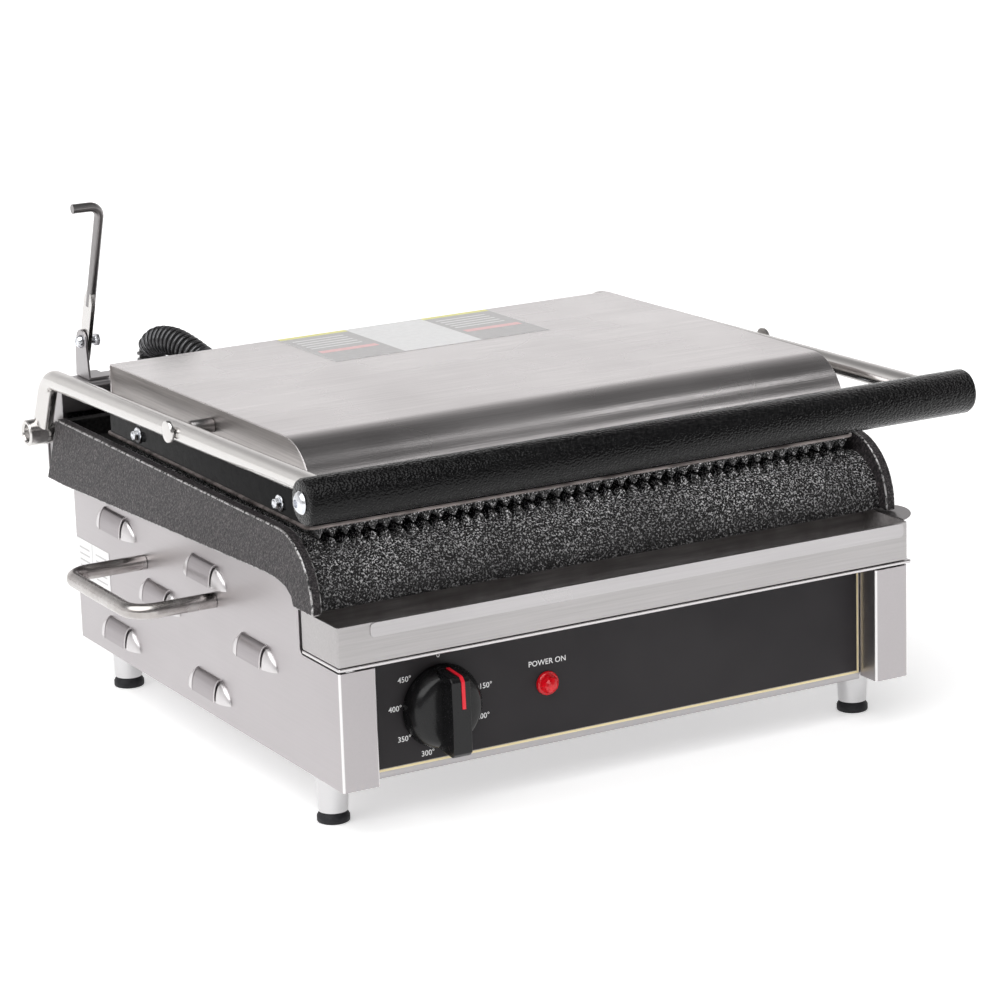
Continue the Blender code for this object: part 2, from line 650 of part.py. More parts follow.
# ---------------------------------------------------------------- lid
def arms(lid):
    """Arm frame, placed relative to the hinge axis."""
    for word, side in SIDES:
        route = bent_route([(side * ARM_X, HANDLE_Y + 0.0060 - HINGE_Y, ARM_FRONT_Z - HINGE_Z),
                            (side * ARM_X, ARM_BEND_Y - HINGE_Y, ARM_REAR_Z - HINGE_Z),
                            (side * ARM_X, 0, 0)], ARM_BEND_R, 6)
        arm = tube(f"arm_{word}", route, ARM_R, 4)
        boss = rod(f"boss_{word}", BOSS_R, (side * BOSS_IN, 0, 0), (side * BOSS_OUT, 0, 0), 24)
        bore = rod(f"boss_bore_{word}", SHAFT_R + 0.0002, (side * 0.18, 0, 0), (side * 0.22, 0, 0), 24)
        hole = rod(f"arm_hole_{word}", PIN_R + 0.0002, (side * 0.19, PIVOT_Y - HINGE_Y, ARM_Z - HINGE_Z),
                   (side * 0.21, PIVOT_Y - HINGE_Y, ARM_Z - HINGE_Z), 16)
        join(arm, boss, parent=lid)
        cut(arm, bore, hole, parent=lid)
        finish(arm, BRIGHT, lid)


def handle(lid):
    y = HANDLE_Y - HINGE_Y
    z = ARM_Z - HINGE_Z
    length = HANDLE_RIGHT - HANDLE_LEFT
    fall = (ARM_FRONT_Z - ARM_REAR_Z) / (ARM_BEND_Y - HANDLE_Y - 0.0060)
    arm_z = ARM_FRONT_Z - HINGE_Z
    profile = [(0, length), (HANDLE_R - 0.0012, length), (HANDLE_R, length - 0.0012), (HANDLE_R, 0.0012),
               (HANDLE_R - 0.0012, 0), (0, 0)]
    grip = turned("handle_grip", profile, (HANDLE_LEFT, y, z), (1, 0, 0), 28)
    for word, side in SIDES:
        socket = rod(f"handle_socket_{word}", ARM_R + GAP, (side * ARM_X, y + 0.0055, arm_z),
                     (side * ARM_X, y + 0.020, arm_z - 0.0145 * fall), 24)
        end = HANDLE_LEFT if side < 0 else HANDLE_RIGHT
        bore = rod(f"handle_bore_{word}", 0.0033, (end - side * 0.012, y, z), (end + side * 0.002, y, z), 16)
        cut(grip, socket, bore, parent=lid)
        profile = [(0, 0.0038), (0.0030, 0.0034), (0.0054, 0.0020), (0.0066, GAP), (0.0030, GAP),
                   (0.0030, -0.0110), (0, -0.0110)]
        finish(turned(f"handle_screw_{word}", profile, (end, y, z), (side, 0, 0), 20), ZINC, lid)
    finish(grip, HANDLE_COAT, lid)


def pivots(lid):
    y = PIVOT_Y - HINGE_Y
    z = ARM_Z - HINGE_Z
    outside = ARM_X + ARM_R + GAP
    for word, side in SIDES:
        length = outside - 0.170
        profile = [(0, 0.0025), (PIN_HEAD_R - 0.0006, 0.0025), (PIN_HEAD_R, 0.0018), (PIN_HEAD_R, 0),
                   (PIN_R, 0), (PIN_R, -length), (0, -length)]
        pin = turned(f"pivot_pin_{word}", profile, (side * outside, y, z), (side, 0, 0), 24)
        finish(pin, BRIGHT, lid)
        start = COVER_HALF - 0.0007
        spacer = rod(f"pivot_spacer_{word}", 0.0052, (side * start, y, z), (side * (ARM_X - ARM_R - GAP), y, z), 24)
        cut(spacer, rod(f"spacer_bore_{word}", PIN_R + 0.0002, (side * 0.17, y, z), (side * 0.21, y, z), 16),
            parent=lid)
        finish(spacer, BRIGHT, lid)


# ---------------------------------------------------------------- upper platen, about its pivot pins
def platen_slab(name, outlines, low, high):
    """Horizontal slab given in the grill's frame, moved to the pivot's frame."""
    moved = [[(x, y - PIVOT_Y) for x, y in outline] for outline in outlines]
    return slab(name, moved, low - ARM_Z, high - ARM_Z)


def platen_side_view(name, outline, low, high):
    return slab(name, [[(y - PIVOT_Y, z - ARM_Z) for y, z in outline]], low, high, FACING_X)


def upper_griddle(platen):
    edge = rounded(0.1825, SHELL_FRONT + 0.0005, SHELL_REAR - 0.0005, 0.009)
    inner = rounded(0.1770, SHELL_FRONT + 0.0060, SHELL_REAR - 0.0060, 0.006)
    base_z = UPPER_TIP_Z + TOOTH_HEIGHT
    plate = platen_slab("upper_griddle", [edge], base_z - 0.0010, SHELL_BOTTOM - GAP)
    boss = platen_slab("griddle_boss", [inner], base_z, 0.1775)
    outline = [(x, z - ARM_Z) for x, z in teeth_outline(UPPER_TIP_Z, base_z - 0.0005, base_z + 0.0010)]
    teeth = slab("platen_teeth", [outline], TEETH_FRONT + 0.0010 - PIVOT_Y, TEETH_REAR - PIVOT_Y, FACING_Y)
    join(plate, boss, teeth, parent=platen)
    finish(plate, CAST, platen)


def platen_shell(platen):
    outer = rounded(SHELL_HALF, SHELL_FRONT, SHELL_REAR, 0.004, 3)
    inner = rounded(SHELL_HALF - SHEET, SHELL_FRONT + SHEET, SHELL_REAR - SHEET, 0.0008, 2)
    brim = rounded(SHELL_HALF + 0.0018, SHELL_FRONT - 0.0018, SHELL_REAR + 0.0018, 0.0058, 3)
    shell = platen_slab("platen_shell", [outer, inner], SHELL_BOTTOM, SHELL_TOP)
    join(shell, platen_slab("shell_brim", [brim, inner], SHELL_BOTTOM, SHELL_BOTTOM + 0.0012), parent=platen)
    for place, y in (("rear", 0.095), ("front", -0.102)):
        z = 0.1792
        hole = rod(f"shell_hole_{place}", 0.0024, (-0.2, y - PIVOT_Y, z - ARM_Z), (0.2, y - PIVOT_Y, z - ARM_Z), 12)
        cut(shell, hole, parent=platen)
        for word, side in SIDES:
            profile = [(0, 0.0042), (0.0030, 0.0042), (0.0034, 0.0036), (0.0034, 0.0014), (0.0050, 0.0010),
                       (0.0050, GAP), (0.0020, GAP), (0.0020, -0.0040), (0, -0.0040)]
            screw = turned(f"shell_screw_{place}_{word}", profile,
                           (side * SHELL_HALF, y - PIVOT_Y, z - ARM_Z), (side, 0, 0), 12)
            finish(screw, ZINC, platen)
    finish(shell, BLACK_GLOSS, platen)


def cover_line(inset):
    """Side view of the cover sheet, front bottom to rear bottom."""
    fall = math.atan2(COVER_TOP_FRONT - COVER_TOP_REAR, COVER_REAR - COVER_FRONT - COVER_CURVE)
    middle = (COVER_FRONT + COVER_CURVE, COVER_TOP_FRONT - COVER_CURVE)
    line = [(COVER_FRONT + inset, 0.1800)]
    line += arc(middle, COVER_CURVE - inset, 180, 90 - math.degrees(fall), 10)
    corner = 0.002
    line += arc((COVER_REAR - corner, COVER_TOP_REAR - corner), corner - inset * 0.9, 89, 0, 3)
    return line + [(COVER_REAR - inset, COVER_BOTTOM)]


def platen_cover(platen):
    outside = cover_line(0)
    inside = cover_line(COVER_SHEET)
    cover = platen_side_view("platen_cover", outside + inside[::-1], -COVER_HALF, COVER_HALF)
    middle = cover_line(COVER_SHEET / 2)
    cheek = [(y, max(z, COVER_BOTTOM)) for y, z in middle[:-1]]
    behind = SHELL_REAR - SHEET - 0.0010
    cheek += [(middle[-1][0], SHELL_TOP + 0.0005), (behind, SHELL_TOP + 0.0005), (behind, COVER_BOTTOM)]
    for word, side in SIDES:
        low, high = sorted((side * (COVER_HALF - 0.0010), side * (COVER_HALF - 0.0022)))
        join(cover, platen_side_view(f"cover_cheek_{word}", cheek, low, high), parent=platen)
    cut(cover, rod("cover_pivot_hole", PIN_R + 0.0008, (-0.2, 0, 0), (0.2, 0, 0), 16), parent=platen)
    finish(cover, COVER_STEEL, platen)


def platen_inside(platen):
    for word, side in SIDES:
        bracket_top = 0.2110 - ARM_Z
        foot_z = 0.1778 - ARM_Z
        low, high = sorted((side * 0.1760, side * 0.1730))
        bracket = box(f"pivot_bracket_{word}", (low, -0.016, foot_z), (high, 0.016, bracket_top))
        low, high = sorted((side * 0.1760, side * 0.1600))
        join(bracket, box(f"bracket_foot_{word}", (low, -0.016, foot_z), (high, 0.016, foot_z + 0.003)),
             parent=platen)
        cut(bracket, rod(f"bracket_bore_{word}", PIN_R + 0.0001, (side * 0.16, 0, 0), (side * 0.19, 0, 0), 24),
            parent=platen)
        finish(bracket, STAINLESS, platen)
    heating_element("upper_heating_element", 0.1818 - ARM_Z, 0.0038, platen, 0.145, -0.105, 0.115, 0.010)
    wool = box("platen_insulation", (-0.130, -0.085, 0.1875 - ARM_Z), (0.130, 0.095, 0.2050 - ARM_Z))
    finish(soften(wool, 0.003), WOOL, platen)


# ---------------------------------------------------------------- conduit and gland
def conduit(platen):
    base = (-0.119, 0.2165, HINGE_COVER_TOP + GAP)
    nut = [(0, 0.0050), (0.0088, 0.0050), (0.0096, 0.0040), (0.0096, 0), (0, 0)]
    finish(turned("conduit_fitting_base", nut, base, (0, 0, 1), 20), ZINC)
    end = (-0.106, COVER_REAR + GAP, 0.2010)
    local = (end[0], end[1] - PIVOT_Y, end[2] - ARM_Z)
    finish(turned("conduit_fitting_platen", nut, local, (0, 1, 0), 20), ZINC, platen)
    rise = base[2] + 0.0050 + GAP
    start_y = end[1] + 0.0050 + GAP
    route = [(base[0], base[1], rise)]
    route += smooth_route([(base[0], base[1], rise + 0.003), (-0.1188, 0.2155, 0.2036), (-0.1172, 0.2065, 0.2108),
                           (-0.1140, 0.1905, 0.2124), (-0.1105, 0.1745, 0.2086), (-0.1075, 0.1630, 0.2035),
                           (end[0], start_y + 0.003, end[2])], 3)
    route.append((end[0], start_y, end[2]))
    finish(tube("wiring_conduit", route, CONDUIT_R, 4), CONDUIT)


def cord_gland():
    profile = [(0, 0.0165), (0.0060, 0.0165), (0.0085, 0.0145), (0.0085, 0.0060), (0.0125, 0.0055), (0.0125, GAP),
               (0.0090, GAP), (0.0090, -0.0060), (0, -0.0060)]
    gland = turned("cord_gland", profile, (0.10, BODY_REAR, 0.055), (0, 1, 0), 24)
    cut(gland, rod("gland_bore", 0.0040, (0.10, BODY_REAR + 0.004, 0.055), (0.10, BODY_REAR + 0.03, 0.055), 16))
    finish(gland, BLACK_PLASTIC)


body()
control_panel()
grease_tray()
legs_and_feet()
side_handles()
lower_griddle()
heaters_and_wiring()
control_knob()
indicator_lamp()
hinge()
lever()
lid_hinge = empty("lid_hinge", (0, HINGE_Y, HINGE_Z), frame)
platen_pivot = empty("platen_pivot", (0, PIVOT_Y - HINGE_Y, ARM_Z - HINGE_Z), lid_hinge)
arms(lid_hinge)
handle(lid_hinge)
pivots(lid_hinge)
upper_griddle(platen_pivot)
platen_shell(platen_pivot)
platen_cover(platen_pivot)
platen_inside(platen_pivot)
conduit(platen_pivot)
cord_gland()
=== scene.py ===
"""Looks of the countertop contact grill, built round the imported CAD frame."""
import json
import math

import bmesh
import bpy
from mathutils import Matrix, Vector


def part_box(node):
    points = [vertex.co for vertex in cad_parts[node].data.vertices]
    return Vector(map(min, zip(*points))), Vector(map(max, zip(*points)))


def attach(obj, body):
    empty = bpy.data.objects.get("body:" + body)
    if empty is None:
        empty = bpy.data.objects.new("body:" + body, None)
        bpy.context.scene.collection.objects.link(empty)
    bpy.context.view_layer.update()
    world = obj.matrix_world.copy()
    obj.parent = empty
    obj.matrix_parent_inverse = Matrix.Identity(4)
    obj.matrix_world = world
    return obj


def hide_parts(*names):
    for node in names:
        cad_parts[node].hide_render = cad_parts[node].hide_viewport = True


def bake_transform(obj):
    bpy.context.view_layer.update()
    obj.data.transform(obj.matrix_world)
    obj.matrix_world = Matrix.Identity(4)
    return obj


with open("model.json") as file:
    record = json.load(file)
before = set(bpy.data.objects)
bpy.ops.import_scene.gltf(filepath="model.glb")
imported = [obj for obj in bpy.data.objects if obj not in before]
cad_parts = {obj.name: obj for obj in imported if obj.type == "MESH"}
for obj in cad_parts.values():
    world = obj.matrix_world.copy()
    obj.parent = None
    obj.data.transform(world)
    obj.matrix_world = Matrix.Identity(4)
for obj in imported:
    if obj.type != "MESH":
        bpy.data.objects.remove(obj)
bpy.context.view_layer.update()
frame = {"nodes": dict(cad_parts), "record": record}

scene = bpy.context.scene
NODES = frame["nodes"]
SIDES = (("left", -1), ("right", 1))
BODY_HALF = 0.192
BODY_FRONT = -0.185
BODY_REAR = 0.185
BODY_BOTTOM = 0.030
SIDE_TOP = 0.144
SHEET = 0.0014
PANEL_FACE = -0.168
FORWARD = (0, -1, 0)
KNOB = (-0.120, PANEL_FACE, 0.0645)
LAMP = (-0.050, PANEL_FACE, 0.065)
GLAND = (0.10, BODY_REAR, 0.055)
RIM_OUTSIDE = 0.197
SHELL_HALF = 0.1835
COVER_HALF = 0.180
ARM_X = 0.200
ARM_R = 0.00635
ARM_Z = 0.205
PLATEN_PIVOT_Y = -0.005
LID_PIVOT = (0.211, 0.161)
HINGE_TOP = 0.190
# The pieces are laid out in the grill's own frame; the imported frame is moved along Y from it.
SHIFT = Vector((0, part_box("side_panel_left")[0].y - BODY_FRONT, 0))


# ---------------------------------------------------------------- camera
AZIMUTH, ELEVATION, ROLL = -0.5038, 0.2603, -0.0312
DISTANCE = 2.3356
TARGET = Vector((0.0154, 0, 0.1275)) + SHIFT
LENS_MM = 135.7668
SENSOR_MM = 36


def look(name, azimuth, elevation, roll, distance, target, lens):
    """Camera that looks at the target from the azimuth and elevation, both in radians."""
    back = Vector((math.sin(azimuth) * math.cos(elevation), -math.cos(azimuth) * math.cos(elevation),
                   math.sin(elevation)))
    right = (-back).cross(Vector((0, 0, 1))).normalized()
    up = right.cross(-back)
    turned_right = math.cos(roll) * right + math.sin(roll) * up
    turned_up = -math.sin(roll) * right + math.cos(roll) * up
    data = bpy.data.cameras.new(name)
    data.sensor_width = SENSOR_MM
    data.lens = lens
    data.clip_start = 0.05
    data.clip_end = 50
    made = bpy.data.objects.new(name, data)
    made.matrix_world = Matrix.Translation(target + back * distance) @ Matrix((turned_right, turned_up, back)
                                                                              ).transposed().to_4x4()
    scene.collection.objects.link(made)
    return made


scene.camera = look("camera", AZIMUTH, ELEVATION, ROLL, DISTANCE, TARGET, LENS_MM)


# ---------------------------------------------------------------- materials
class Finish:
    """A Principled material with textures in object space, in metres."""

    def __init__(self, name, colour, roughness, metallic=0.0, **sockets):
        self.made = bpy.data.materials.new(name)
        self.made.use_nodes = True
        self.tree = self.made.node_tree
        self.shader = self.tree.nodes["Principled BSDF"]
        self.coords = None
        self.height = None
        self.set("Base Color", (*colour, 1))
        self.set("Roughness", roughness)
        self.set("Metallic", metallic)
        for socket, value in sockets.items():
            self.set(socket.replace("_", " "), value)

    def set(self, socket, value):
        self.shader.inputs[socket].default_value = value

    def add(self, kind, **settings):
        node = self.tree.nodes.new(kind)
        for key, value in settings.items():
            setattr(node, key, value)
        return node

    def place(self, stretch, lean=0.0):
        if self.coords is None:
            self.coords = self.add("ShaderNodeTexCoord")
        mapping = self.add("ShaderNodeMapping", vector_type="TEXTURE" if lean else "POINT")
        mapping.inputs["Scale"].default_value = tuple(1 / q for q in stretch) if lean else stretch
        mapping.inputs["Rotation"].default_value = (lean, 0, 0)
        self.tree.links.new(self.coords.outputs["Object"], mapping.inputs["Vector"])
        return mapping.outputs["Vector"]

    def noise(self, scale, stretch=(1, 1, 1), detail=3.0, rough=0.55, bend=0.0, lean=0.0):
        node = self.add("ShaderNodeTexNoise")
        node.inputs["Scale"].default_value = scale
        node.inputs["Detail"].default_value = detail
        node.inputs["Roughness"].default_value = rough
        node.inputs["Distortion"].default_value = bend
        self.tree.links.new(self.place(stretch, lean), node.inputs["Vector"])
        return node.outputs["Fac"]

    def cells(self, scale, stretch=(1, 1, 1), feature="F1"):
        node = self.add("ShaderNodeTexVoronoi", feature=feature)
        node.inputs["Scale"].default_value = scale
        self.tree.links.new(self.place(stretch), node.inputs["Vector"])
        return node.outputs["Distance"]

    def spread(self, value, low, high, start=0.3, end=0.7):
        node = self.add("ShaderNodeMapRange")
        for key, number in (("From Min", start), ("From Max", end), ("To Min", low), ("To Max", high)):
            node.inputs[key].default_value = number
        self.tree.links.new(value, node.inputs["Value"])
        return node.outputs["Result"]

    def ramp(self, value, stops):
        node = self.add("ShaderNodeValToRGB")
        marks = node.color_ramp.elements
        while len(marks) < len(stops):
            marks.new(0.5)
        for mark, (place, colour) in zip(marks, stops):
            mark.position = place
            mark.color = (*colour, 1)
        self.tree.links.new(value, node.inputs["Fac"])
        return node.outputs["Color"]

    def mix(self, share, first, second):
        node = self.add("ShaderNodeMix", data_type="RGBA")
        for key, value in ((0, share), (6, first), (7, second)):
            if isinstance(value, tuple):
                node.inputs[key].default_value = (*value, 1)
            else:
                self.tree.links.new(value, node.inputs[key])
        return node.outputs[2]

    def feed(self, socket, value):
        self.tree.links.new(value, self.shader.inputs[socket])
        return self

    def rough(self, value, low, high):
        return self.feed("Roughness", self.spread(value, low, high))

    def paint(self, value, stops):
        return self.feed("Base Color", self.ramp(value, stops))

    def bump(self, value, depth, strength=1.0):
        node = self.add("ShaderNodeBump")
        node.inputs["Distance"].default_value = depth
        node.inputs["Strength"].default_value = strength
        self.tree.links.new(value, node.inputs["Height"])
        if self.height is not None:
            self.tree.links.new(self.height, node.inputs["Normal"])
        self.height = node.outputs["Normal"]
        self.tree.links.new(self.height, self.shader.inputs["Normal"])
        return self


def grain_of(axis, along=14, across=900):
    return tuple(along if i == axis else across for i in range(3))


def brushed(name, tone, axis, roughness=0.30, depth=0.00004, grain=0.10):
    steel = Finish(name, tone, roughness, 1.0)
    lines = steel.noise(1, grain_of(axis), 4, 0.65)
    smudge = steel.noise(9, detail=3)
    dark = tuple(c * (1 - grain) for c in tone)
    light = tuple(min(1, c * (1 + grain * 0.7)) for c in tone)
    steel.paint(lines, [(0.32, dark), (0.68, light)])
    return steel.rough(smudge, roughness - 0.05, roughness + 0.06).bump(lines, depth)


EVEN = (1, 1, 1)


def mottled(name, tone, roughness, metallic, specular, grain, band, bump, stops):
    """Finish whose tone, roughness and bump all follow one noise."""
    finish = Finish(name, tone, roughness, metallic, Specular_IOR_Level=specular)
    value = finish.noise(*grain)
    if stops:
        finish.paint(value, stops)
    if band:
        finish.rough(value, *band)
    if bump:
        finish.bump(value, *bump)
    return finish


def make_finishes():
    made = {}
    for key, name, tone, axis, roughness, depth, grain in (
        ("side", "satin_side", (0.455, 0.432, 0.440), 1, 0.34, 0.000008, 0.02),
        ("front", "brushed_front", (0.42, 0.405, 0.41), 0, 0.32, 0.00002, 0.05),
        ("cover", "brushed_cover", (0.73, 0.70, 0.70), 0, 0.27, 0.00006, 0.10),
        ("hem", "folded_hem", (0.50, 0.485, 0.49), 0, 0.30, 0.00002, 0.05),
        # A darker copy of the cover steel for the cover's side cheeks; the darkness is painted shade on the
        # sides.
        ("cheek", "cover_cheek_painted_shade", (0.40, 0.375, 0.365), 1, 0.36, 0.00006, 0.18),
        ("tray", "brushed_tray", (0.43, 0.415, 0.415), 0, 0.34, 0.00004, 0.08),
        # A paler copy of the side steel for the rounded panel corners; its lightness is a painted highlight.
        ("bend", "bend_painted_highlight", (0.80, 0.785, 0.785), 2, 0.28, 0.00001, 0.04),
        # The louvre barrels' steel is darker than the side steel as painted shade; bright_sheet is a lighter
        # copy whose lightness paints the highlight on the louvre rims and end domes, and it also covers the
        # front shelf.
        ("pressed", "pressed_steel_painted_shade", (0.36, 0.335, 0.345), 1, 0.30, 0.00002, 0.05),
        ("bright_sheet", "bright_sheet", (0.66, 0.64, 0.645), 1, 0.32, 0.00001, 0.03),
        ("rod", "dull_rod", (0.30, 0.29, 0.29), 2, 0.30, 0.00002, 0.10)):
        made[key] = brushed(name, tone, axis, roughness, depth, grain)

    # Each row ends with the noise, the roughness it spreads over, its bump and the tones it gives.
    for key, name, tone, roughness, metallic, specular, grain, band, bump, stops in (
        ("tube", "drawn_tube", (0.66, 0.645, 0.63), 0.22, 1, 0.5, (1, (60, 60, 260), 3), (0.15, 0.27),
         (0.00002,), None),
        ("bright", "bright_rod", (0.60, 0.595, 0.60), 0.20, 1, 0.5, (90, EVEN, 4), (0.16, 0.27),
         (0.00003,), None),
        ("bent_rod", "bent_rod", (0.50, 0.475, 0.46), 0.24, 1, 0.5, (70, EVEN, 4), (0.18, 0.32),
         (0.00003,), [(0.35, (0.42, 0.395, 0.38)), (0.65, (0.56, 0.54, 0.53))]),
        ("zinc", "zinc", (0.78, 0.80, 0.84), 0.20, 1, 0.5, (350, EVEN, 2), (0.14, 0.32),
         None, [(0.3, (0.66, 0.68, 0.72)), (0.7, (0.84, 0.85, 0.88))]),
        # Speckled bright look for the griddle rims' bevelled edges, a painted highlight along them.
        ("edge_highlight", "edge_painted_highlight", (0.42, 0.41, 0.41), 0.28, 0.8, 0.5, (420, EVEN, 3), (0.22, 0.40),
         (0.0002, 0.6), [(0.40, (0.05, 0.05, 0.05)), (0.58, (0.55, 0.54, 0.54))]),
        # Paints the platen shell's lower flange a paler brownish grey.
        ("flange", "pale_flange", (0.20, 0.165, 0.155), 0.38, 0.4, 0.5, (160, (0.3, 1, 1), 3),
         (0.30, 0.46), None, [(0.35, (0.07, 0.058, 0.055)), (0.65, (0.30, 0.26, 0.25))]),
        ("inner", "cast_iron_inner", (0.008, 0.008, 0.009), 0.5, 0, 0.2, (600, EVEN, 3), None,
         (0.0006, 0.8), [(0.35, (0.003, 0.003, 0.003)), (0.7, (0.018, 0.017, 0.017))]),
        ("gloss", "black_enamel", (0.004, 0.004, 0.0045), 0.12, 0, 0.06, (120, EVEN, 2), (0.08, 0.20),
         (0.00012, 0.5), None),
        ("plastic", "black_plastic", (0.006, 0.006, 0.0065), 0.22, 0, 0.35, (900, EVEN, 2), (0.17, 0.28),
         (0.00003, 0.6), None),
        ("rubber", "rubber", (0.018, 0.018, 0.021), 0.55, 0, 0.3, (700, EVEN, 3), (0.45, 0.68),
         (0.0001, 0.6), [(0.3, (0.008, 0.008, 0.010)), (0.7, (0.022, 0.022, 0.026))]),
        ("ink", "white_ink", (0.86, 0.86, 0.86), 0.5, 0, 0.5, (900,), (0.42, 0.58), None, None),
        ("gold", "pale_gold_line", (0.82, 0.70, 0.42), 0.35, 0.3, 0.5, (500,), (0.28, 0.42), None, None),
        ("red", "red_line", (0.80, 0.012, 0.03), 0.35, 0, 0.5, (700,), (0.28, 0.42), None, None),
        ("lens", "red_jewel", (0.55, 0.004, 0.01), 0.08, 0, 0.5, (260, EVEN, 2), None,
         None, [(0.3, (0.35, 0.0, 0.004)), (0.7, (0.75, 0.006, 0.015))]),
        ("label", "pale_label", (0.80, 0.80, 0.80), 0.45, 0, 0.5, (300, EVEN, 3), (0.38, 0.52),
         None, [(0.3, (0.77, 0.77, 0.77)), (0.7, (0.84, 0.84, 0.84))])):
        made[key] = mottled(name, tone, roughness, metallic, specular, grain, band, bump, stops)
    made["lens"].set("Emission Color", (0.9, 0.01, 0.02, 1))
    made["lens"].set("Emission Strength", 0.10)

    iron = Finish("cast_iron", (0.02, 0.02, 0.02), 0.34, 0.0, Specular_IOR_Level=0.35)
    lumps = iron.noise(760, detail=2, rough=0.5)
    grit_and_painted_glints = iron.noise(960, detail=3, rough=0.6)
    patch = iron.noise(22, detail=3)
    # The whitest speckles of the base colour are painted glints; the same noise also gives real grit through
    # roughness and bump.
    base = iron.ramp(grit_and_painted_glints, [(0.50, (0.006, 0.006, 0.006)), (0.56, (0.14, 0.138, 0.140)),
                            (0.61, (0.95, 0.94, 0.95))])
    # Painted sheen: the base colour keeps its full speckle at the top of the apron and darkens below it, as
    # if light fell on its upper curve.
    where = iron.add("ShaderNodeTexCoord")
    level = iron.add("ShaderNodeSeparateXYZ")
    iron.tree.links.new(where.outputs["Object"], level.inputs[0])
    painted_top_sheen = iron.mix(iron.spread(level.outputs["Z"], 0.60, 0.0, 0.134, 0.157), base, (0.012, 0.011, 0.012))
    iron.feed("Base Color", iron.mix(iron.spread(patch, 0.0, 0.40, 0.42, 0.64), painted_top_sheen,
                                     (0.012, 0.011, 0.012)))
    iron.rough(grit_and_painted_glints, 0.20, 0.40)
    iron.bump(lumps, 0.0011, 0.9).bump(grit_and_painted_glints, 0.0004, 0.8)
    made["iron"] = iron

    skirt = Finish("cast_iron_side", (0.05, 0.046, 0.047), 0.55, 0.0, Specular_IOR_Level=0.35)
    streak = skirt.noise(1, (900, 1000, 520), 3, 0.62, 0.5, lean=0.7)
    fine = skirt.noise(1500, detail=2)
    skirt.paint(streak, [(0.38, (0.007, 0.006, 0.007)), (0.52, (0.032, 0.028, 0.030)),
                                                 (0.66, (0.115, 0.10, 0.105))])
    skirt.rough(fine, 0.40, 0.62)
    skirt.bump(streak, 0.0009, 0.9).bump(fine, 0.0002, 0.6)
    made["skirt"] = skirt

    # Tray floor: the light grey, non-metal base is painted light standing in for the sheen of brushed steel
    # that sits in shade; the darker stains mixed in are grease.
    grease_and_painted_light = Finish("seasoned_steel_painted_light", (0.30, 0.28, 0.28), 0.50, 0.0)
    drag = grease_and_painted_light.noise(1, (26, 420, 420), 4, 0.6)
    stain = grease_and_painted_light.noise(38, detail=4)
    sheet = grease_and_painted_light.ramp(drag, [(0.30, (0.26, 0.245, 0.245)), (0.70, (0.46, 0.44, 0.44))])
    grease_and_painted_light.feed("Base Color", grease_and_painted_light.mix(grease_and_painted_light.spread(stain, 0.0, 0.6, 0.40, 0.66), sheet,
                                         (0.20, 0.18, 0.175)))
    grease_and_painted_light.rough(stain, 0.38, 0.58).bump(drag, 0.00004)
    made["grease_and_painted_light"] = grease_and_painted_light

    coat = Finish("textured_black", (0.006, 0.006, 0.007), 0.08, 0.0, Specular_IOR_Level=0.20)
    pits = coat.cells(760, (1.0, 1.2, 1.2), "SMOOTH_F1")
    worm = coat.noise(900, (0.7, 1, 1), 2, 0.5, 0.6)
    coat.rough(worm, 0.05, 0.13)
    coat.paint(worm, [(0.3, (0.002, 0.002, 0.0022)), (0.7, (0.006, 0.006, 0.0063))])
    coat.bump(pits, 0.0008, 0.7).bump(worm, 0.0004, 0.7)
    made["coat"] = coat

    overlay = Finish("panel_black", (0.024, 0.021, 0.023), 0.38, Specular_IOR_Level=0.22)
    tooth = overlay.noise(1700, detail=1)
    cloud = overlay.noise(14, detail=2)
    overlay.paint(cloud, [(0.3, (0.018, 0.016, 0.018)), (0.7, (0.028, 0.025, 0.027))])
    overlay.rough(tooth, 0.36, 0.48).bump(tooth, 0.00002, 0.6)
    made["overlay"] = overlay

    for key, name, low, high, rough in (
        ("heater", "heater_sheath", (0.10, 0.09, 0.08), (0.28, 0.26, 0.24), 0.45),
        ("wool", "mineral_wool", (0.55, 0.52, 0.42), (0.80, 0.77, 0.68), 0.95),
        ("ceramic", "terminal_ceramic", (0.74, 0.72, 0.66), (0.86, 0.84, 0.79), 0.55),
        ("spring", "spring_steel", (0.18, 0.18, 0.19), (0.40, 0.40, 0.41), 0.35),
        ("hose", "hose_black", (0.07, 0.07, 0.073), (0.12, 0.12, 0.125), 0.20),
        ("grey", "label_grey", (0.46, 0.45, 0.45), (0.56, 0.55, 0.55), 0.42),
        ("yellow", "label_yellow", (0.80, 0.78, 0.30), (0.88, 0.86, 0.40), 0.45),
        ("rose", "label_rose", (0.78, 0.50, 0.50), (0.86, 0.60, 0.60), 0.45),
        # This near-black look is the hose core's own black and also the patches behind the louvres, which are
        # painted shade standing in for the dark inside the body.
        ("hollow", "black_and_painted_shade", (0.004, 0.004, 0.004), (0.012, 0.012, 0.012), 0.8)):
        metal = 1.0 if key in ("heater", "spring") else 0.7 if key == "hose" else 0.0
        made[key] = mottled(name, high, rough, metal, 0.5, (260, EVEN, 3),
                            (rough - 0.06, min(1.0, rough + 0.08)), (0.0006 if key == "wool" else 0.00005,
                                                                     0.6), [(0.3, low), (0.7, high)])
    return {key: finish.made for key, finish in made.items()}


LOOKS = make_finishes()


# ---------------------------------------------------------------- shapes
def arc(middle, radius, start, end, steps):
    turns = [math.radians(start + (end - start) * i / steps) for i in range(steps + 1)]
    return [(middle[0] + radius * math.cos(a), middle[1] + radius * math.sin(a)) for a in turns]


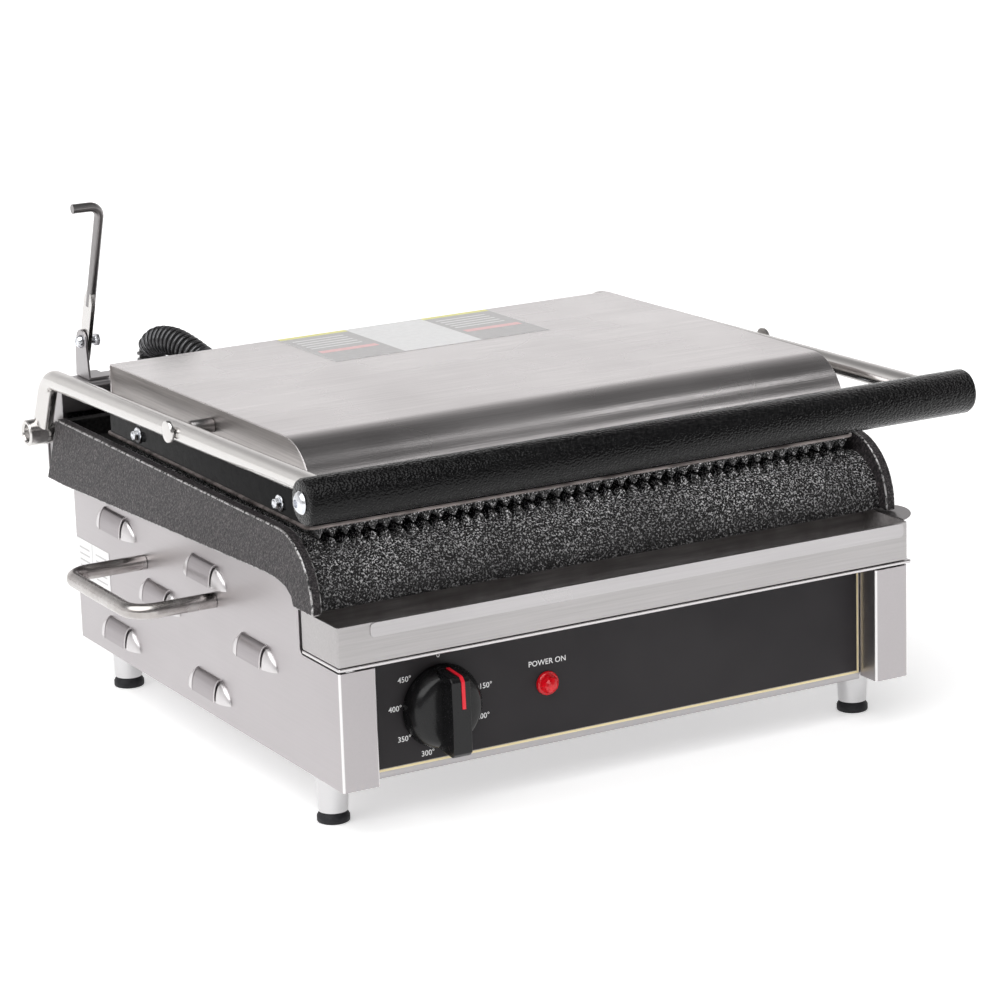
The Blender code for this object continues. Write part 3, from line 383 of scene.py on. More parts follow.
def fillet(points, radius, steps=6, closed=False):
    """Round the corners of a flat or solid polyline."""
    points = [Vector(p) for p in points]
    count = len(points)
    result = []
    for i, corner in enumerate(points):
        if not closed and i in (0, count - 1):
            result.append(corner)
            continue
        come = points[i - 1] - corner
        leave = points[(i + 1) % count] - corner
        turn = come.angle(leave)
        half = turn / 2
        if half > math.pi / 2 - 0.03:
            result.append(corner)
            continue
        reach = min(radius / math.tan(half), come.length * 0.48, leave.length * 0.48)
        first = corner + come.normalized() * reach
        last = corner + leave.normalized() * reach
        for step in range(steps + 1):
            t = step / steps
            # A rational quadratic gives a true circle arc.
            weight = math.sin(half)
            a, b, c = (1 - t) ** 2, 2 * t * (1 - t) * weight, t * t
            result.append((first * a + corner * b + last * c) / (a + b + c))
    return result


def ribbon(points, thickness):
    """Closed outline of a sheet whose outer face follows the flat points, thickness to their left."""
    points = [Vector((p[0], p[1])) for p in points]
    inner = []
    for i, point in enumerate(points):
        before = (point - points[i - 1]).normalized() if i else (points[1] - point).normalized()
        after = (points[i + 1] - point).normalized() if i < len(points) - 1 else before
        side = Vector((-(before + after).y, (before + after).x)).normalized()
        cosine = max(0.35, side.dot(Vector((-after.y, after.x))))
        inner.append(point + side * thickness / cosine)
    return [tuple(p) for p in points] + [tuple(p) for p in reversed(inner)]


def to_axis(axis, flat, along):
    """A point from its place in the outline and along the axis the outline is pushed."""
    return {"X": (along, flat[0], flat[1]), "Y": (flat[0], along, flat[1]),
            "Z": (flat[0], flat[1], along)}[axis]


def finished_mesh(thing):
    """The mesh an object has once its modifiers or its text are worked out."""
    bpy.context.view_layer.update()
    return bpy.data.meshes.new_from_object(thing.evaluated_get(bpy.context.evaluated_depsgraph_get()))


class Shape:
    """Closed solids collected in one mesh, in the grill's frame."""

    def __init__(self):
        self.work = bmesh.new()

    def prism(self, outline, axis, low, high, slot=0):
        rings = [[self.work.verts.new(to_axis(axis, p, along)) for p in outline] for along in (low, high)]
        count = len(outline)
        faces = [self.work.faces.new(rings[0]), self.work.faces.new(rings[1][::-1])]
        for i in range(count):
            j = (i + 1) % count
            faces.append(self.work.faces.new((rings[0][i], rings[1][i], rings[1][j], rings[0][j])))
        for face in faces:
            face.material_index = slot
        bmesh.ops.recalc_face_normals(self.work, faces=faces)
        return self

    def block(self, low, high, slot=0):
        corners = [(low[0], low[1]), (high[0], low[1]), (high[0], high[1]), (low[0], high[1])]
        return self.prism(corners, "Z", low[2], high[2], slot)

    def loft(self, loops, slot=0, ring=False, caps=True):
        """Skin through loops of equal length; ring joins the last loop to the first."""
        rings = [[self.work.verts.new(p) for p in loop] for loop in loops]
        faces = []
        pairs = list(zip(rings, rings[1:])) + ([(rings[-1], rings[0])] if ring else [])
        for lower, upper in pairs:
            for i in range(len(lower)):
                j = (i + 1) % len(lower)
                faces.append(self.work.faces.new((lower[i], lower[j], upper[j], upper[i])))
        if caps and not ring:
            faces.append(self.work.faces.new(rings[0][::-1]))
            faces.append(self.work.faces.new(rings[-1]))
        for face in faces:
            face.material_index = slot
        bmesh.ops.recalc_face_normals(self.work, faces=faces)
        return self

    def lathe(self, profile, start, toward, sides=40, slot=0, turn=0.0):
        """Profile of (radius, distance) spun about a line, with a flat cap at each end."""
        basis = Vector(toward).normalized().to_track_quat("Z", "Y").to_matrix()
        start = Vector(start)
        loops = []
        for radius, along in profile:
            loops.append([start + basis @ Vector((radius * math.cos(a), radius * math.sin(a), along))
                          for a in (turn + 2 * math.pi * i / sides for i in range(sides))])
        return self.loft(loops, slot)

    def sweep(self, path, radius, sides=24, slot=0):
        """Round tube; radius is a number or a list with one value a point."""
        path = [Vector(p) for p in path]
        size = radius if isinstance(radius, list) else [radius] * len(path)
        tangents = []
        for i in range(len(path)):
            tangents.append((path[min(i + 1, len(path) - 1)] - path[max(i - 1, 0)]).normalized())
        across = tangents[0].orthogonal().normalized()
        loops = []
        for point, tangent, reach in zip(path, tangents, size):
            across = (across - tangent * across.dot(tangent)).normalized()
            other = tangent.cross(across)
            loops.append([point + reach * (math.cos(a) * across + math.sin(a) * other)
                          for a in (2 * math.pi * i / sides for i in range(sides))])
        return self.loft(loops, slot)

    def without(self, *cutters):
        """This shape less other shapes, worked out at once."""
        target = self.as_object("target", [])
        for cutter in cutters:
            tool = cutter.as_object("tool", [])
            change = target.modifiers.new("cut", "BOOLEAN")
            change.operation = "DIFFERENCE"
            change.solver = "EXACT"
            change.object = tool
        mesh = finished_mesh(target)
        for change in target.modifiers:
            bpy.data.objects.remove(change.object, do_unlink=True)
        bpy.data.objects.remove(target, do_unlink=True)
        self.work = bmesh.new()
        self.work.from_mesh(mesh)
        return self

    def as_object(self, name, looks):
        mesh = bpy.data.meshes.new(name)
        self.work.to_mesh(mesh)
        self.work.free()
        for look in looks:
            mesh.materials.append(LOOKS[look])
        made = bpy.data.objects.new(name, mesh)
        scene.collection.objects.link(made)
        return made

    def piece(self, name, looks, body, *nodes, bevel=0.0, segments=3, angle=35, slot=None, blend=None,
              edge_look=-1):
        """Hand the shape over as a piece of the object."""
        looks = [looks] if isinstance(looks, str) else looks
        bmesh.ops.translate(self.work, vec=SHIFT, verts=self.work.verts)
        made = self.as_object(name, looks)
        if bevel:
            edge = made.modifiers.new("edge", "BEVEL")
            edge.width = bevel
            edge.segments = segments
            edge.limit_method = "ANGLE"
            edge.angle_limit = math.radians(angle)
            edge.harden_normals = True
            edge.material = edge_look
        made.data.shade_smooth()
        made.data.set_sharp_from_angle(angle=math.radians(angle))
        if blend:
            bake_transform(made)
        else:
            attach(made, body)
        for node in nodes:
            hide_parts(node)
        return made

    def skin(self, looks, body, node, **more):
        """Hand the shape over in the place of one CAD node."""
        return self.piece(node + "_skin", looks, body, node, **more)


def node_slot(node):
    for part in frame["record"]["subparts"]:
        if part.get("node") == node:
            return part.get("material_slot")
    return "brushed_stainless"


def rounded(half_x, low_y, high_y, radius, steps=8, grow=0.0):
    """Rounded rectangle, symmetric about x = 0, grown outwards."""
    half_x, low_y, high_y, radius = half_x + grow, low_y - grow, high_y + grow, max(0.0002, radius + grow)
    points = []
    for x, y, start in ((half_x, high_y, 0), (-half_x, high_y, 90), (-half_x, low_y, 180),
                        (half_x, low_y, 270)):
        middle = (x - math.copysign(radius, x), y - math.copysign(radius, y - (low_y + high_y) / 2))
        points += arc(middle, radius, start, start + 90, steps)
    return points


# ---------------------------------------------------------------- body
LOUVRES = ((0.1176, 0.1134), (-0.0126, 0.1134), (0.0565, 0.0812), (-0.0775, 0.0804), (0.1190, 0.0420),
           (-0.0115, 0.0424))
LOUVRE_HEIGHT = 0.0132
LOUVRE_REACH = 0.0058
LOUVRE_RIM = 0.0155


def louvre(shape, side, face, y, z):
    """Pressed hood, open underneath: a barrel with a raised rim and a sloping dome at each end."""
    def skin(stations, slot):
        loops = []
        for along, size in stations:
            outer = []
            inner = []
            for i in range(11):
                turn = math.radians(90 * i / 10)
                for ring, less in ((outer, 0.0), (inner, 0.0008)):
                    reach = max(0.0001, LOUVRE_REACH * size - less)
                    height = max(0.0001, LOUVRE_HEIGHT * size - less)
                    out = side * (reach * math.cos(turn) ** 0.85 - 0.0004 * (less == 0))
                    ring.append((face + out, y + along, z + height * math.sin(turn)))
            loops.append(outer + inner[::-1])
        shape.loft(loops, slot)

    # The barrel takes the first look, a darker steel whose darkness is painted shade; the rims and end domes
    # take the second, a lighter steel whose lightness is a painted highlight.
    rim = LOUVRE_RIM
    skin([(-rim, 1.0), (rim, 1.0)], 0)
    for end in (-1, 1):
        skin([(end * (rim - 0.0004), 1.04), (end * (rim + 0.0004), 1.04)], 1)
        skin([(end * (rim - 0.0030), 0.82), (end * (rim + 0.0011), 0.82), (end * (rim + 0.0018), 0.91),
              (end * 0.0200, 0.85), (end * 0.0230, 0.72), (end * 0.0258, 0.53), (end * 0.0278, 0.34),
              (end * 0.0290, 0.12)], 1)


def side_panels():
    for word, side in SIDES:
        path = [(0.1805, BODY_REAR), (BODY_HALF, BODY_REAR), (BODY_HALF, BODY_FRONT), (0.1685, BODY_FRONT),
                (0.1685, -0.1683)]
        path = fillet(path, 0.0017, 5)
        outline = [(side * x, y) for x, y in ribbon(path[::-1], SHEET)]
        if side < 0:
            outline = outline[::-1]
        panel = Shape().prism(outline, "Z", BODY_BOTTOM, SIDE_TOP)
        notch = Shape().prism(fillet([(-0.25, 0.0998), (-0.1364, 0.0998), (-0.1364, 0.2), (-0.25, 0.2)],
                                     0.004, 6, True), "X", -0.3, 0.3)
        holes = [Shape().block((side * BODY_HALF - 0.006, y - 0.014, z - 0.0002),
                               (side * BODY_HALF + 0.006, y + 0.014, z + 0.008))
                 for y, z in LOUVRES]
        panel.without(notch, *holes)
        panel.work.normal_update()
        # The rounded corner faces take the second look, a paler steel that paints the highlight on the
        # corners.
        for face in panel.work.faces:
            if abs(face.normal.x) > 0.15 and abs(face.normal.y) > 0.15:
                face.material_index = 1
        panel.skin(["side", "bend"], "base", f"side_panel_{word}", bevel=0.0003,
                    segments=2)
        hoods = Shape()
        for y, z in LOUVRES:
            louvre(hoods, side, side * BODY_HALF, y, z)
        hoods.piece(f"louvre_hoods_{word}", ["pressed", "bright_sheet"], "base", angle=30)
        # Dark patches behind the louvre holes: painted shade for the inside of the body.
        shade_patch = Shape()
        for y, z in LOUVRES:
            low, high = sorted((side * 0.1896, side * 0.1903))
            shade_patch.block((low, y - 0.018, z - 0.006), (high, y + 0.018, z + 0.012))
        shade_patch.piece(f"louvre_painted_shade_{word}", "hollow", "base")


def back_and_floor():
    back = Shape().block((-0.1797, 0.1835, BODY_BOTTOM), (0.1797, BODY_REAR, SIDE_TOP))
    hole = Shape().lathe([(0.0095, -0.01), (0.0095, 0.01)], GLAND, (0, 1, 0))
    slots = [Shape().block((-0.100 + 0.018 * i, 0.17, 0.052), (-0.088 + 0.018 * i, 0.2, 0.055))
             for i in range(6)]
    back.without(hole, *slots)
    back.skin("side", "base", "back_panel", bevel=0.0003)
    screws = Shape()
    for x in (-0.168, 0.168):
        for z in (0.040, 0.087, 0.122):
            screw_head(screws, (x, BODY_REAR, z), (0, 1, 0), 0.0036)
    screws.piece("back_panel_screws", "zinc", "base", slot="zinc_plate")
    floor = Shape().block((-0.1902, -0.1662, BODY_BOTTOM), (0.1902, 0.1832, 0.0315))
    vents = [Shape().block((-0.09 + 0.03 * i, -0.03, 0.02), (-0.084 + 0.03 * i, 0.05, 0.04))
             for i in range(7)]
    floor.without(*vents)
    floor.skin("front", "base", "bottom_plate", bevel=0.0003)


def screw_head(shape, place, toward, radius):
    """Pan head with a sunk hub in place of its cross recess."""
    profile = [(share * radius, rise * radius) for share, rise in (
        (0.05, 0.18), (0.18, 0.20), (0.3, 0.42), (0.5, 0.50), (0.8, 0.42), (0.95, 0.25), (1, 0.05))]
    profile.append((0.98 * radius, -0.0002))
    shape.lathe(profile, place, toward, 24)


def shelf():
    outline = fillet([(-0.192, -0.185), (0.1946, -0.1852), (0.1946, -0.160), (0.192, -0.1388),
                      (-0.192, -0.1388)], 0.0012, 4, True)
    plate = Shape().prism(outline, "Z", 0.1006, 0.1026)
    plate.block((-0.186, -0.1370, 0.1010), (0.186, -0.1354, 0.1435))
    plate.skin("bright_sheet", "base", "front_shelf", bevel=0.0006)


def control_panel():
    steel = Shape()
    profile = [(-0.1678, 0.1002), (-0.1678, 0.0275), (-0.158, 0.0275)]
    outline = ribbon(fillet(profile, SHEET, 5), SHEET)
    steel.prism(outline, "X", -0.1682, 0.1682)
    steel.skin("front", "base", "control_panel", bevel=0.0002)
    face = Shape()
    face.block((-0.1660, -0.16805, 0.0335), (0.1660, -0.1676, 0.1000))
    face.piece("panel_overlay", "overlay", "base", bevel=0.00005, segments=1, slot="panel_overlay")
    lines = Shape()
    lines.block((-0.1674, -0.16806, 0.0318), (0.1674, -0.1677, 0.0331))
    for side in (-1, 1):
        low, high = sorted((side * 0.1663, side * 0.1674))
        lines.block((low, -0.16806, 0.0331), (high, -0.1677, 0.1000))
    lines.piece("panel_pinstripe", "gold", "base", slot="panel_overlay")


def caption(name, words, x, z, size):
    curve = bpy.data.curves.new(name, "FONT")
    curve.body = words
    curve.size = size
    curve.align_x = "CENTER"
    curve.align_y = "CENTER"
    curve.extrude = 0.00004
    curve.resolution_u = 3
    curve.offset = 0.00003
    made = bpy.data.objects.new(name, curve)
    scene.collection.objects.link(made)
    made.rotation_euler = (math.pi / 2, 0, 0)
    made.location = Vector((x, -0.16810, z)) + SHIFT
    mesh = finished_mesh(made)
    mesh.transform(made.matrix_world)
    bpy.data.objects.remove(made, do_unlink=True)
    mesh.materials.clear()
    mesh.materials.append(LOOKS["ink"])
    solid = bpy.data.objects.new(name, mesh)
    scene.collection.objects.link(solid)
    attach(solid, "base")


def dial_marks():
    marks = (("0", -2), ("150°", 79), ("200°", 115), ("250°", 157), ("300°", -161), ("350°", -124.5),
             ("400°", -86), ("450°", -51))
    for i, (words, degrees) in enumerate(marks):
        turn = math.radians(degrees)
        caption(f"dial_mark_{i}", words, -0.1195 + 0.0296 * math.sin(turn), 0.0652 + 0.0293 * math.cos(turn),
                0.0046)
    caption("lamp_caption", "POWER ON", -0.0495, 0.0778, 0.0047)


def knob():
    skirt = [(0.0010, 0.0135), (0.0150, 0.0133), (0.0186, 0.0126), (0.0205, 0.0115), (0.0232, 0.0075),
             (0.0244, 0.0040), (0.0248, 0.0012), (0.0246, 0.0003), (0.0050, 0.0003)]
    dial = Shape().lathe(skirt, KNOB, FORWARD, 64)
    side = [(-0.1755, 0.0410), (-0.1915, 0.0400), (-0.1940, 0.0425), (-0.1944, 0.0640), (-0.1938, 0.0850),
            (-0.1915, 0.0873), (-0.1755, 0.0885)]
    dial.prism(fillet(side, 0.0012, 4, True), "X", -0.1260, -0.1140)
    dial.skin("plastic", "knob", "control_knob", bevel=0.0007)
    stripe = Shape()
    path = [(-0.1762, 0.08880), (-0.1916, 0.08770), (-0.1943, 0.0851), (-0.1949, 0.0690)]
    stripe.prism(ribbon(fillet(path, 0.0012, 5), 0.0006), "X", -0.1200, -0.1179)
    stripe.piece("knob_stripe", "red", "knob", slot="black_plastic")


def lamp():
    ring = Shape().lathe([(0.0050, 0.0024), (0.0062, 0.0024), (0.0070, 0.0016), (0.0072, 0.0001),
                          (0.0050, 0.0001)], LAMP, FORWARD, 40)
    ring.lathe([(0.0042, -0.0004), (0.0042, -0.0260)], LAMP, FORWARD, 32)
    ring.piece("lamp_bezel", "lens", "base", "lamp_body", bevel=0.0002)
    jewel = Shape().lathe([(0.0010, 0.0074), (0.0028, 0.0070), (0.0044, 0.0058), (0.0056, 0.0036),
                           (0.0058, 0.0018)], LAMP, FORWARD, 12)
    jewel.piece("lamp_jewel", "lens", "base", "lamp_lens", angle=8)


def tray():
    x, front, rear = BODY_HALF, BODY_FRONT, -0.1391
    wall = 0.0012
    low, high = 0.1029, 0.1265
    profile = [(-0.0035, low + 0.0002), (-0.0012, low), (-0.0003, low + 0.0004), (0, low + 0.0015), (0, high),
               (-0.0002, high + 0.0001), (-wall, high), (-wall, low + 0.0035), (-wall - 0.0006, low + 0.0018),
               (-wall - 0.0020, low + wall)]
    loops = [[(px, py, z) for px, py in rounded(x, front, rear, 0.0016, 4, grow)] for grow, z in profile]
    pan = Shape().loft(loops[::-1])
    # Inner faces take the second look: painted light on the tray floor, with grease stains.
    for face in pan.work.faces:
        middle = face.calc_center_median()
        inside = abs(middle.x) < x - wall * 0.8 and front + wall * 0.8 < middle.y < rear - wall * 0.8
        if inside and middle.z > low + wall * 0.7:
            face.material_index = 1
    pan.piece("tray_pan", ["tray", "grease_and_painted_light"], "tray", "grease_tray", angle=30)
    hem = Shape()
    outline = fillet([(-0.1690, 0.1265), (-0.1716, 0.1250), (-0.1716, 0.1178), (0.1885, 0.1178),
                      (0.1885, 0.1265)], 0.0026, 6, True)
    hem.prism(outline, "Y", -0.1858, -0.1846)
    wing = []
    for i in range(17):
        turn = math.pi * i / 16
        wing.append((0.1918 + 0.0115 * math.sin(turn) ** 0.8, -0.1655 + 0.0155 * math.cos(turn)))
    top = [[(px, py, 0.1262 + (px - 0.1918) * 0.24 + up) for px, py in wing] for up in (0, 0.0009)]
    hem.loft(top)
    hem.piece("tray_hem", "hem", "tray", bevel=0.0003)


def legs():
    for place, x, y in (("front", 0.179, -0.144), ("rear", 0.172, 0.159)):
        for word, side in SIDES:
            at = (side * x, y, 0)
            leg = Shape().lathe([(0.0002, 0.0297), (0.0100, 0.0297), (0.0108, 0.0292), (0.0108, 0.0282),
                                 (0.0101, 0.0270), (0.0096, 0.0240), (0.0088, 0.0080), (0.0086, 0.0066),
                                 (0.0080, 0.0060), (0.0002, 0.0060)], at, (0, 0, 1), 48)
            leg.skin("bright", "base", f"leg_{place}_{word}")
            foot = Shape().lathe([(0.0002, 0.0062), (0.0078, 0.0062), (0.0083, 0.0058), (0.0092, 0.0042),
                                  (0.0096, 0.0036), (0.0096, 0.0008), (0.0094, 0.0003), (0.0088, 0.0),
                                  (0.0002, 0.0)], at, (0, 0, 1), 48)
            foot.skin("rubber", "base", f"foot_{place}_{word}", angle=50)


def side_handles():
    for word, side in SIDES:
        root, reach = side * 0.1923, side * 0.24348
        path = fillet([(root, 0.077, 0.104), (reach, 0.077, 0.104), (reach, -0.023, 0.104),
                       (root, -0.023, 0.104)], 0.014, 10)
        grip = Shape().sweep(path, 0.0047, 28)
        grip.skin("bent_rod", "base", f"side_handle_{word}")


# ---------------------------------------------------------------- plates
TEETH = 42
PITCH = 0.00865


def teeth(shape, tip, base, back, low, high, slot=0):
    """Saw-tooth bar along Y, its points at tip and its back at back."""
    half = TEETH * PITCH / 2
    line = []
    for i in range(TEETH):
        left = -half + i * PITCH
        middle = left + PITCH / 2
        line += [(left + 0.0006, base), (middle - 0.0009, tip - (tip - base) * 0.16), (middle - 0.0003, tip),
                 (middle + 0.0003, tip), (middle + 0.0009, tip - (tip - base) * 0.16),
                 (left + PITCH - 0.0006, base)]
    line += [(half - 0.0003, back), (-half + 0.0003, back)]
    shape.prism(line, "Y", low, high, slot)


def lower_plate():
    rim = [(0.2145, 0.129), (0.194, 0.1715)] + arc((-0.125, 0.132), 0.040, 90, 180, 20)
    rim += [(-0.165, 0.129), (-0.1405, 0.129), (-0.1382, 0.1345), (-0.1320, 0.1385), (-0.1200, 0.1408),
            (-0.105, 0.1412), (0.05, 0.1350), (0.185, 0.1292)]
    for word, side in SIDES:
        wall = Shape()
        low, high = sorted((side * 0.1905, side * RIM_OUTSIDE))
        wall.prism(rim, "X", low, high)
        # The bevel faces take the second look, a painted highlight along the rim's edges.
        wall.piece(f"griddle_rim_{word}", ["skirt", "edge_highlight"], "base", bevel=0.0009, slot="cast_iron_enamel",
                   edge_look=1)
    plate = Shape()
    apron = arc((-0.128, 0.130), 0.030, 88, 180, 24)
    outline = apron + [(-0.158, 0.1290), (-0.1515, 0.1290)] + arc((-0.128, 0.130), 0.0235, 180, 90, 12)
    plate.prism(outline, "X", -0.1908, 0.1908)
    plate.block((-0.1908, -0.1290, 0.1450), (0.1908, 0.1900, 0.1597), 1)
    plate.block((-0.1908, 0.1856, 0.1445), (0.1908, 0.1935, 0.1712), 1)
    plate.piece("griddle_apron", ["iron", "inner"], "base", "lower_griddle", bevel=0.0005)
    ridges = Shape()
    teeth(ridges, 0.1640, 0.1586, 0.1560, -0.1378, 0.136)
    ridges.piece("griddle_ridges", "iron", "base", slot="cast_iron_enamel")


def upper_plate():
    plate = Shape()
    profile = [(-0.004, 0.1701), (-0.0012, 0.1701), (-0.0003, 0.1703), (0, 0.1706), (0, 0.1709),
               (-0.0005, 0.1712), (-0.0200, 0.1712)]
    loops = [[(x, y, z) for x, y in rounded(0.1825, -0.1380, 0.1405, 0.009, 8, grow)] for grow, z in profile]
    plate.loft(loops)
    teeth(plate, 0.1652, 0.1703, 0.1707, -0.1376, 0.136)
    plate.skin("iron", "platen", "upper_griddle")


def platen_shell():
    wall = 0.0015
    profile = [(0.0018, 0.1715), (0.0018, 0.1726), (0.0012, 0.1729), (0.0004, 0.1731), (0, 0.1738),
               (0, 0.1940), (-0.0003, 0.1945), (-wall + 0.0003, 0.1945), (-wall, 0.1940), (-wall, 0.1715)]
    loops = [[(x, y, z) for x, y in rounded(SHELL_HALF, -0.1385, 0.141, 0.004, 8, grow)] for grow,
             z in profile]
    band = Shape().loft(loops, ring=True)
    # Faces of the lower flange take the second look, a paler brownish grey.
    for face in band.work.faces:
        if face.calc_center_median().z < 0.17305:
            face.material_index = 1
    band.piece("platen_band", ["gloss", "flange"], "platen", "platen_shell", angle=40)
    for place, y in (("rear", 0.095), ("front", -0.102)):
        for word, side in SIDES:
            head = Shape()
            at = (side * SHELL_HALF, y, 0.1792)
            head.lathe([(0.0002, 0.0012), (0.0046, 0.0011), (0.0050, 0.0007), (0.0050, 0.0002),
                        (0.0002, 0.0002)], at, (side, 0, 0), 32)
            head.lathe([(0.0002, 0.0034), (0.0018, 0.0036), (0.0026, 0.0042), (0.0033, 0.0038),
                        (0.0035, 0.0012)], at, (side, 0, 0), 6, turn=0.3)
            node = f"shell_screw_{place}_{word}"
            head.piece(node + "_skin", "zinc", "platen", node, bevel=0.0002)


COVER_FRONT, COVER_REAR = -0.1366, 0.143
COVER_TOP_FRONT, COVER_TOP_REAR = 0.2188, 0.2148
COVER_CURVE = 0.033


def cover_top(y):
    """Height of the cover's flat top at a depth."""
    start = COVER_FRONT + COVER_CURVE
    return COVER_TOP_FRONT + (COVER_TOP_REAR - COVER_TOP_FRONT) * (y - start) / (COVER_REAR - start)


def cover():
    fall = math.degrees(math.atan2(COVER_TOP_FRONT - COVER_TOP_REAR, COVER_REAR - COVER_FRONT - COVER_CURVE))
    middle = (COVER_FRONT + COVER_CURVE, COVER_TOP_FRONT - COVER_CURVE)
    line = [(COVER_FRONT, 0.1800)] + arc(middle, COVER_CURVE, 180, 90 - fall, 28)
    line += arc((COVER_REAR - 0.0022, COVER_TOP_REAR - 0.0022), 0.0022, 89, 0, 6) + [(COVER_REAR, 0.1905)]
    sheet = Shape().prism(ribbon(line[::-1], 0.0012), "X", -COVER_HALF, COVER_HALF)
    sheet.piece("cover_sheet", "cover", "platen", "platen_cover", bevel=0.0003, segments=2)
    cheeks = Shape()
    inset = [(y + 0.0006, min(z, cover_top(y) - 0.0006)) for y, z in line[1:-8]]
    outline = [(COVER_FRONT + 0.0008, 0.1905)] + [(y, z) for y, z in inset if z > 0.1905]
    outline += [(COVER_REAR - 0.0006, COVER_TOP_REAR - 0.0008), (COVER_REAR - 0.0006, 0.1952),
                (0.1385, 0.1952), (0.1385, 0.1905)]
    for side in (-1, 1):
        low, high = sorted((side * 0.1778, side * 0.1790))
        cheeks.prism(outline, "X", low, high)
    # The cheeks' darker steel is painted shade on the cover's sides.
    cheeks.piece("cover_cheeks", "cheek", "platen", slot="cover_stainless")


def labels():
    stuck = Shape()

    def strip(low_x, high_x, low_y, high_y, slot, lift):
        loops = []
        for up in (0.00002, lift):
            loops.append([(x, y, cover_top(y) + up) for x, y in ((low_x, low_y), (high_x, low_y),
                                                                 (high_x, high_y), (low_x, high_y))])
        stuck.loft(loops, slot)

    strip(-0.066, 0.086, 0.056, 0.1405, 0, 0.00012)
    for low in (-0.0655, 0.0375):
        strip(low, low + 0.0480, 0.0565, 0.1400, 1, 0.00018)
        strip(low, low + 0.0480, 0.1345, 0.1400, 2, 0.00022)
        strip(low + 0.004, low + 0.044, 0.0830, 0.0900, 3, 0.00022)
        for i in range(5):
            strip(low + 0.004, low + 0.040, 0.0985 + 0.0065 * i, 0.1005 + 0.0065 * i, 0, 0.00022)
    stuck.piece("cover_label", ["label", "grey", "yellow", "rose"], "platen", slot="cover_stainless")
    plate = Shape()
    for low, high in ((0.1325, 0.1585), (0.1592, 0.1835)):
        plate.block((-0.19225, low, 0.0665), (-0.19195, high, 0.0965))
        for i in range(6):
            plate.block((-0.1923, low + 0.004, 0.0705 + 0.004 * i), (-0.1920, high - 0.005, 0.0715 + 0.004
                                                                     * i), 1)
    plate.piece("side_label", ["label", "grey"], "base")


# ---------------------------------------------------------------- arms and handle
def arms():
    for word, side in SIDES:
        path = fillet([(side * ARM_X, -0.1906, 0.2088), (side * ARM_X, 0.193, 0.1991),
                       (side * ARM_X, *LID_PIVOT)], 0.020, 16)
        arm = Shape().sweep(path, ARM_R, 32)
        arm.skin("tube", "arm_frame", f"arm_{word}")
        boss = Shape()
        at = (side * 0.1925, *LID_PIVOT)
        boss.lathe([(0.0052, 0), (0.0080, 0), (0.0085, 0.0005), (0.0085, 0.0178), (0.0078, 0.0185),
                    (0.0062, 0.0185), (0.0054, 0.0175), (0.0052, 0.0120)], at, (side, 0, 0), 40)
        boss.piece(f"boss_{word}", "tube", "arm_frame", slot="polished_steel")
        pin = Shape()
        at = (side * (ARM_X + 0.00665), PLATEN_PIVOT_Y, ARM_Z)
        pin.lathe([(0.0004, 0.0022), (0.0055, 0.0025), (0.0064, 0.0022), (0.0068, 0.0016), (0.0068, 0.0002),
                   (0.0035, 0.0), (0.0035, -0.0360), (0.0004, -0.0360)], at, (side, 0, 0), 40)
        pin.skin("tube", "arm_frame", f"pivot_pin_{word}")
        bush = Shape().lathe([(0.0037, 0), (0.0043, 0), (0.0045, 0.0004), (0.0045, 0.0136), (0.0043, 0.0140),
                              (0.0037, 0.0140)], (side * 0.1793, PLATEN_PIVOT_Y, ARM_Z), (side, 0, 0), 32)
        bush.skin("rod", "arm_frame", f"pivot_spacer_{word}")


def handle():
    y, r = -0.1966, 0.01325
    low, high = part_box("handle_grip")[0].x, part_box("handle_grip")[1].x
    length = high - low
    profile = [(0.0030, 0.0001), (r - 0.0022, 0.0002), (r - 0.0008, 0.0009), (r, 0.0026)]
    bar = Shape().lathe(profile + [(q, length - a) for q, a in profile[::-1]], (low, y, ARM_Z), (1, 0, 0), 64)
    bar.piece("grip_skin", "coat", "arm_frame", "handle_grip")
    for word, side in SIDES:
        at = (low if side < 0 else high, y, ARM_Z)
        button = Shape().lathe([(0.0002, 0.0014), (0.0021, 0.0014), (0.0023, 0.0034), (0.0040, 0.0030),
                                (0.0056, 0.0019), (0.0066, 0.0004), (0.0064, 0.0001), (0.0002, 0.0001)], at,
                               (side, 0, 0), 36)
        button.skin("zinc", "arm_frame", f"handle_screw_{word}")


# ---------------------------------------------------------------- hinge, lever, hose
def hinge():
    t = 0.0015
    front, rear, low, top = 0.199, 0.2285, 0.1315, HINGE_TOP
    line = [(front, 0.1735), (front, top), (rear, top), (rear, low), (0.1955, low)]
    hood = Shape().prism(ribbon(fillet(line, 0.0022, 6)[::-1], t), "X", -0.190, 0.190)
    hood.block((-0.160, 0.1868, 0.080), (0.160, 0.1883, low + 0.001))
    hood.block((-0.160, 0.1868, low), (0.160, 0.1975, low + 0.001))
    hood.skin("front", "base", "hinge_cover", bevel=0.0003)
    fixings = Shape()
    for x in (-0.14, 0, 0.14):
        screw_head(fixings, (x, 0.1883, 0.098), (0, 1, 0), 0.0038)
    fixings.piece("hinge_cover_screws", "zinc", "base", slot="zinc_plate")
    shaft = Shape().lathe([(0.0003, 0), (0.0044, 0), (0.0050, 0.0006), (0.0050, 0.4134), (0.0044, 0.414),
                           (0.0003, 0.414)], (-0.207, *LID_PIVOT), (1, 0, 0), 40)
    shaft.skin("bright", "base", "hinge_shaft")


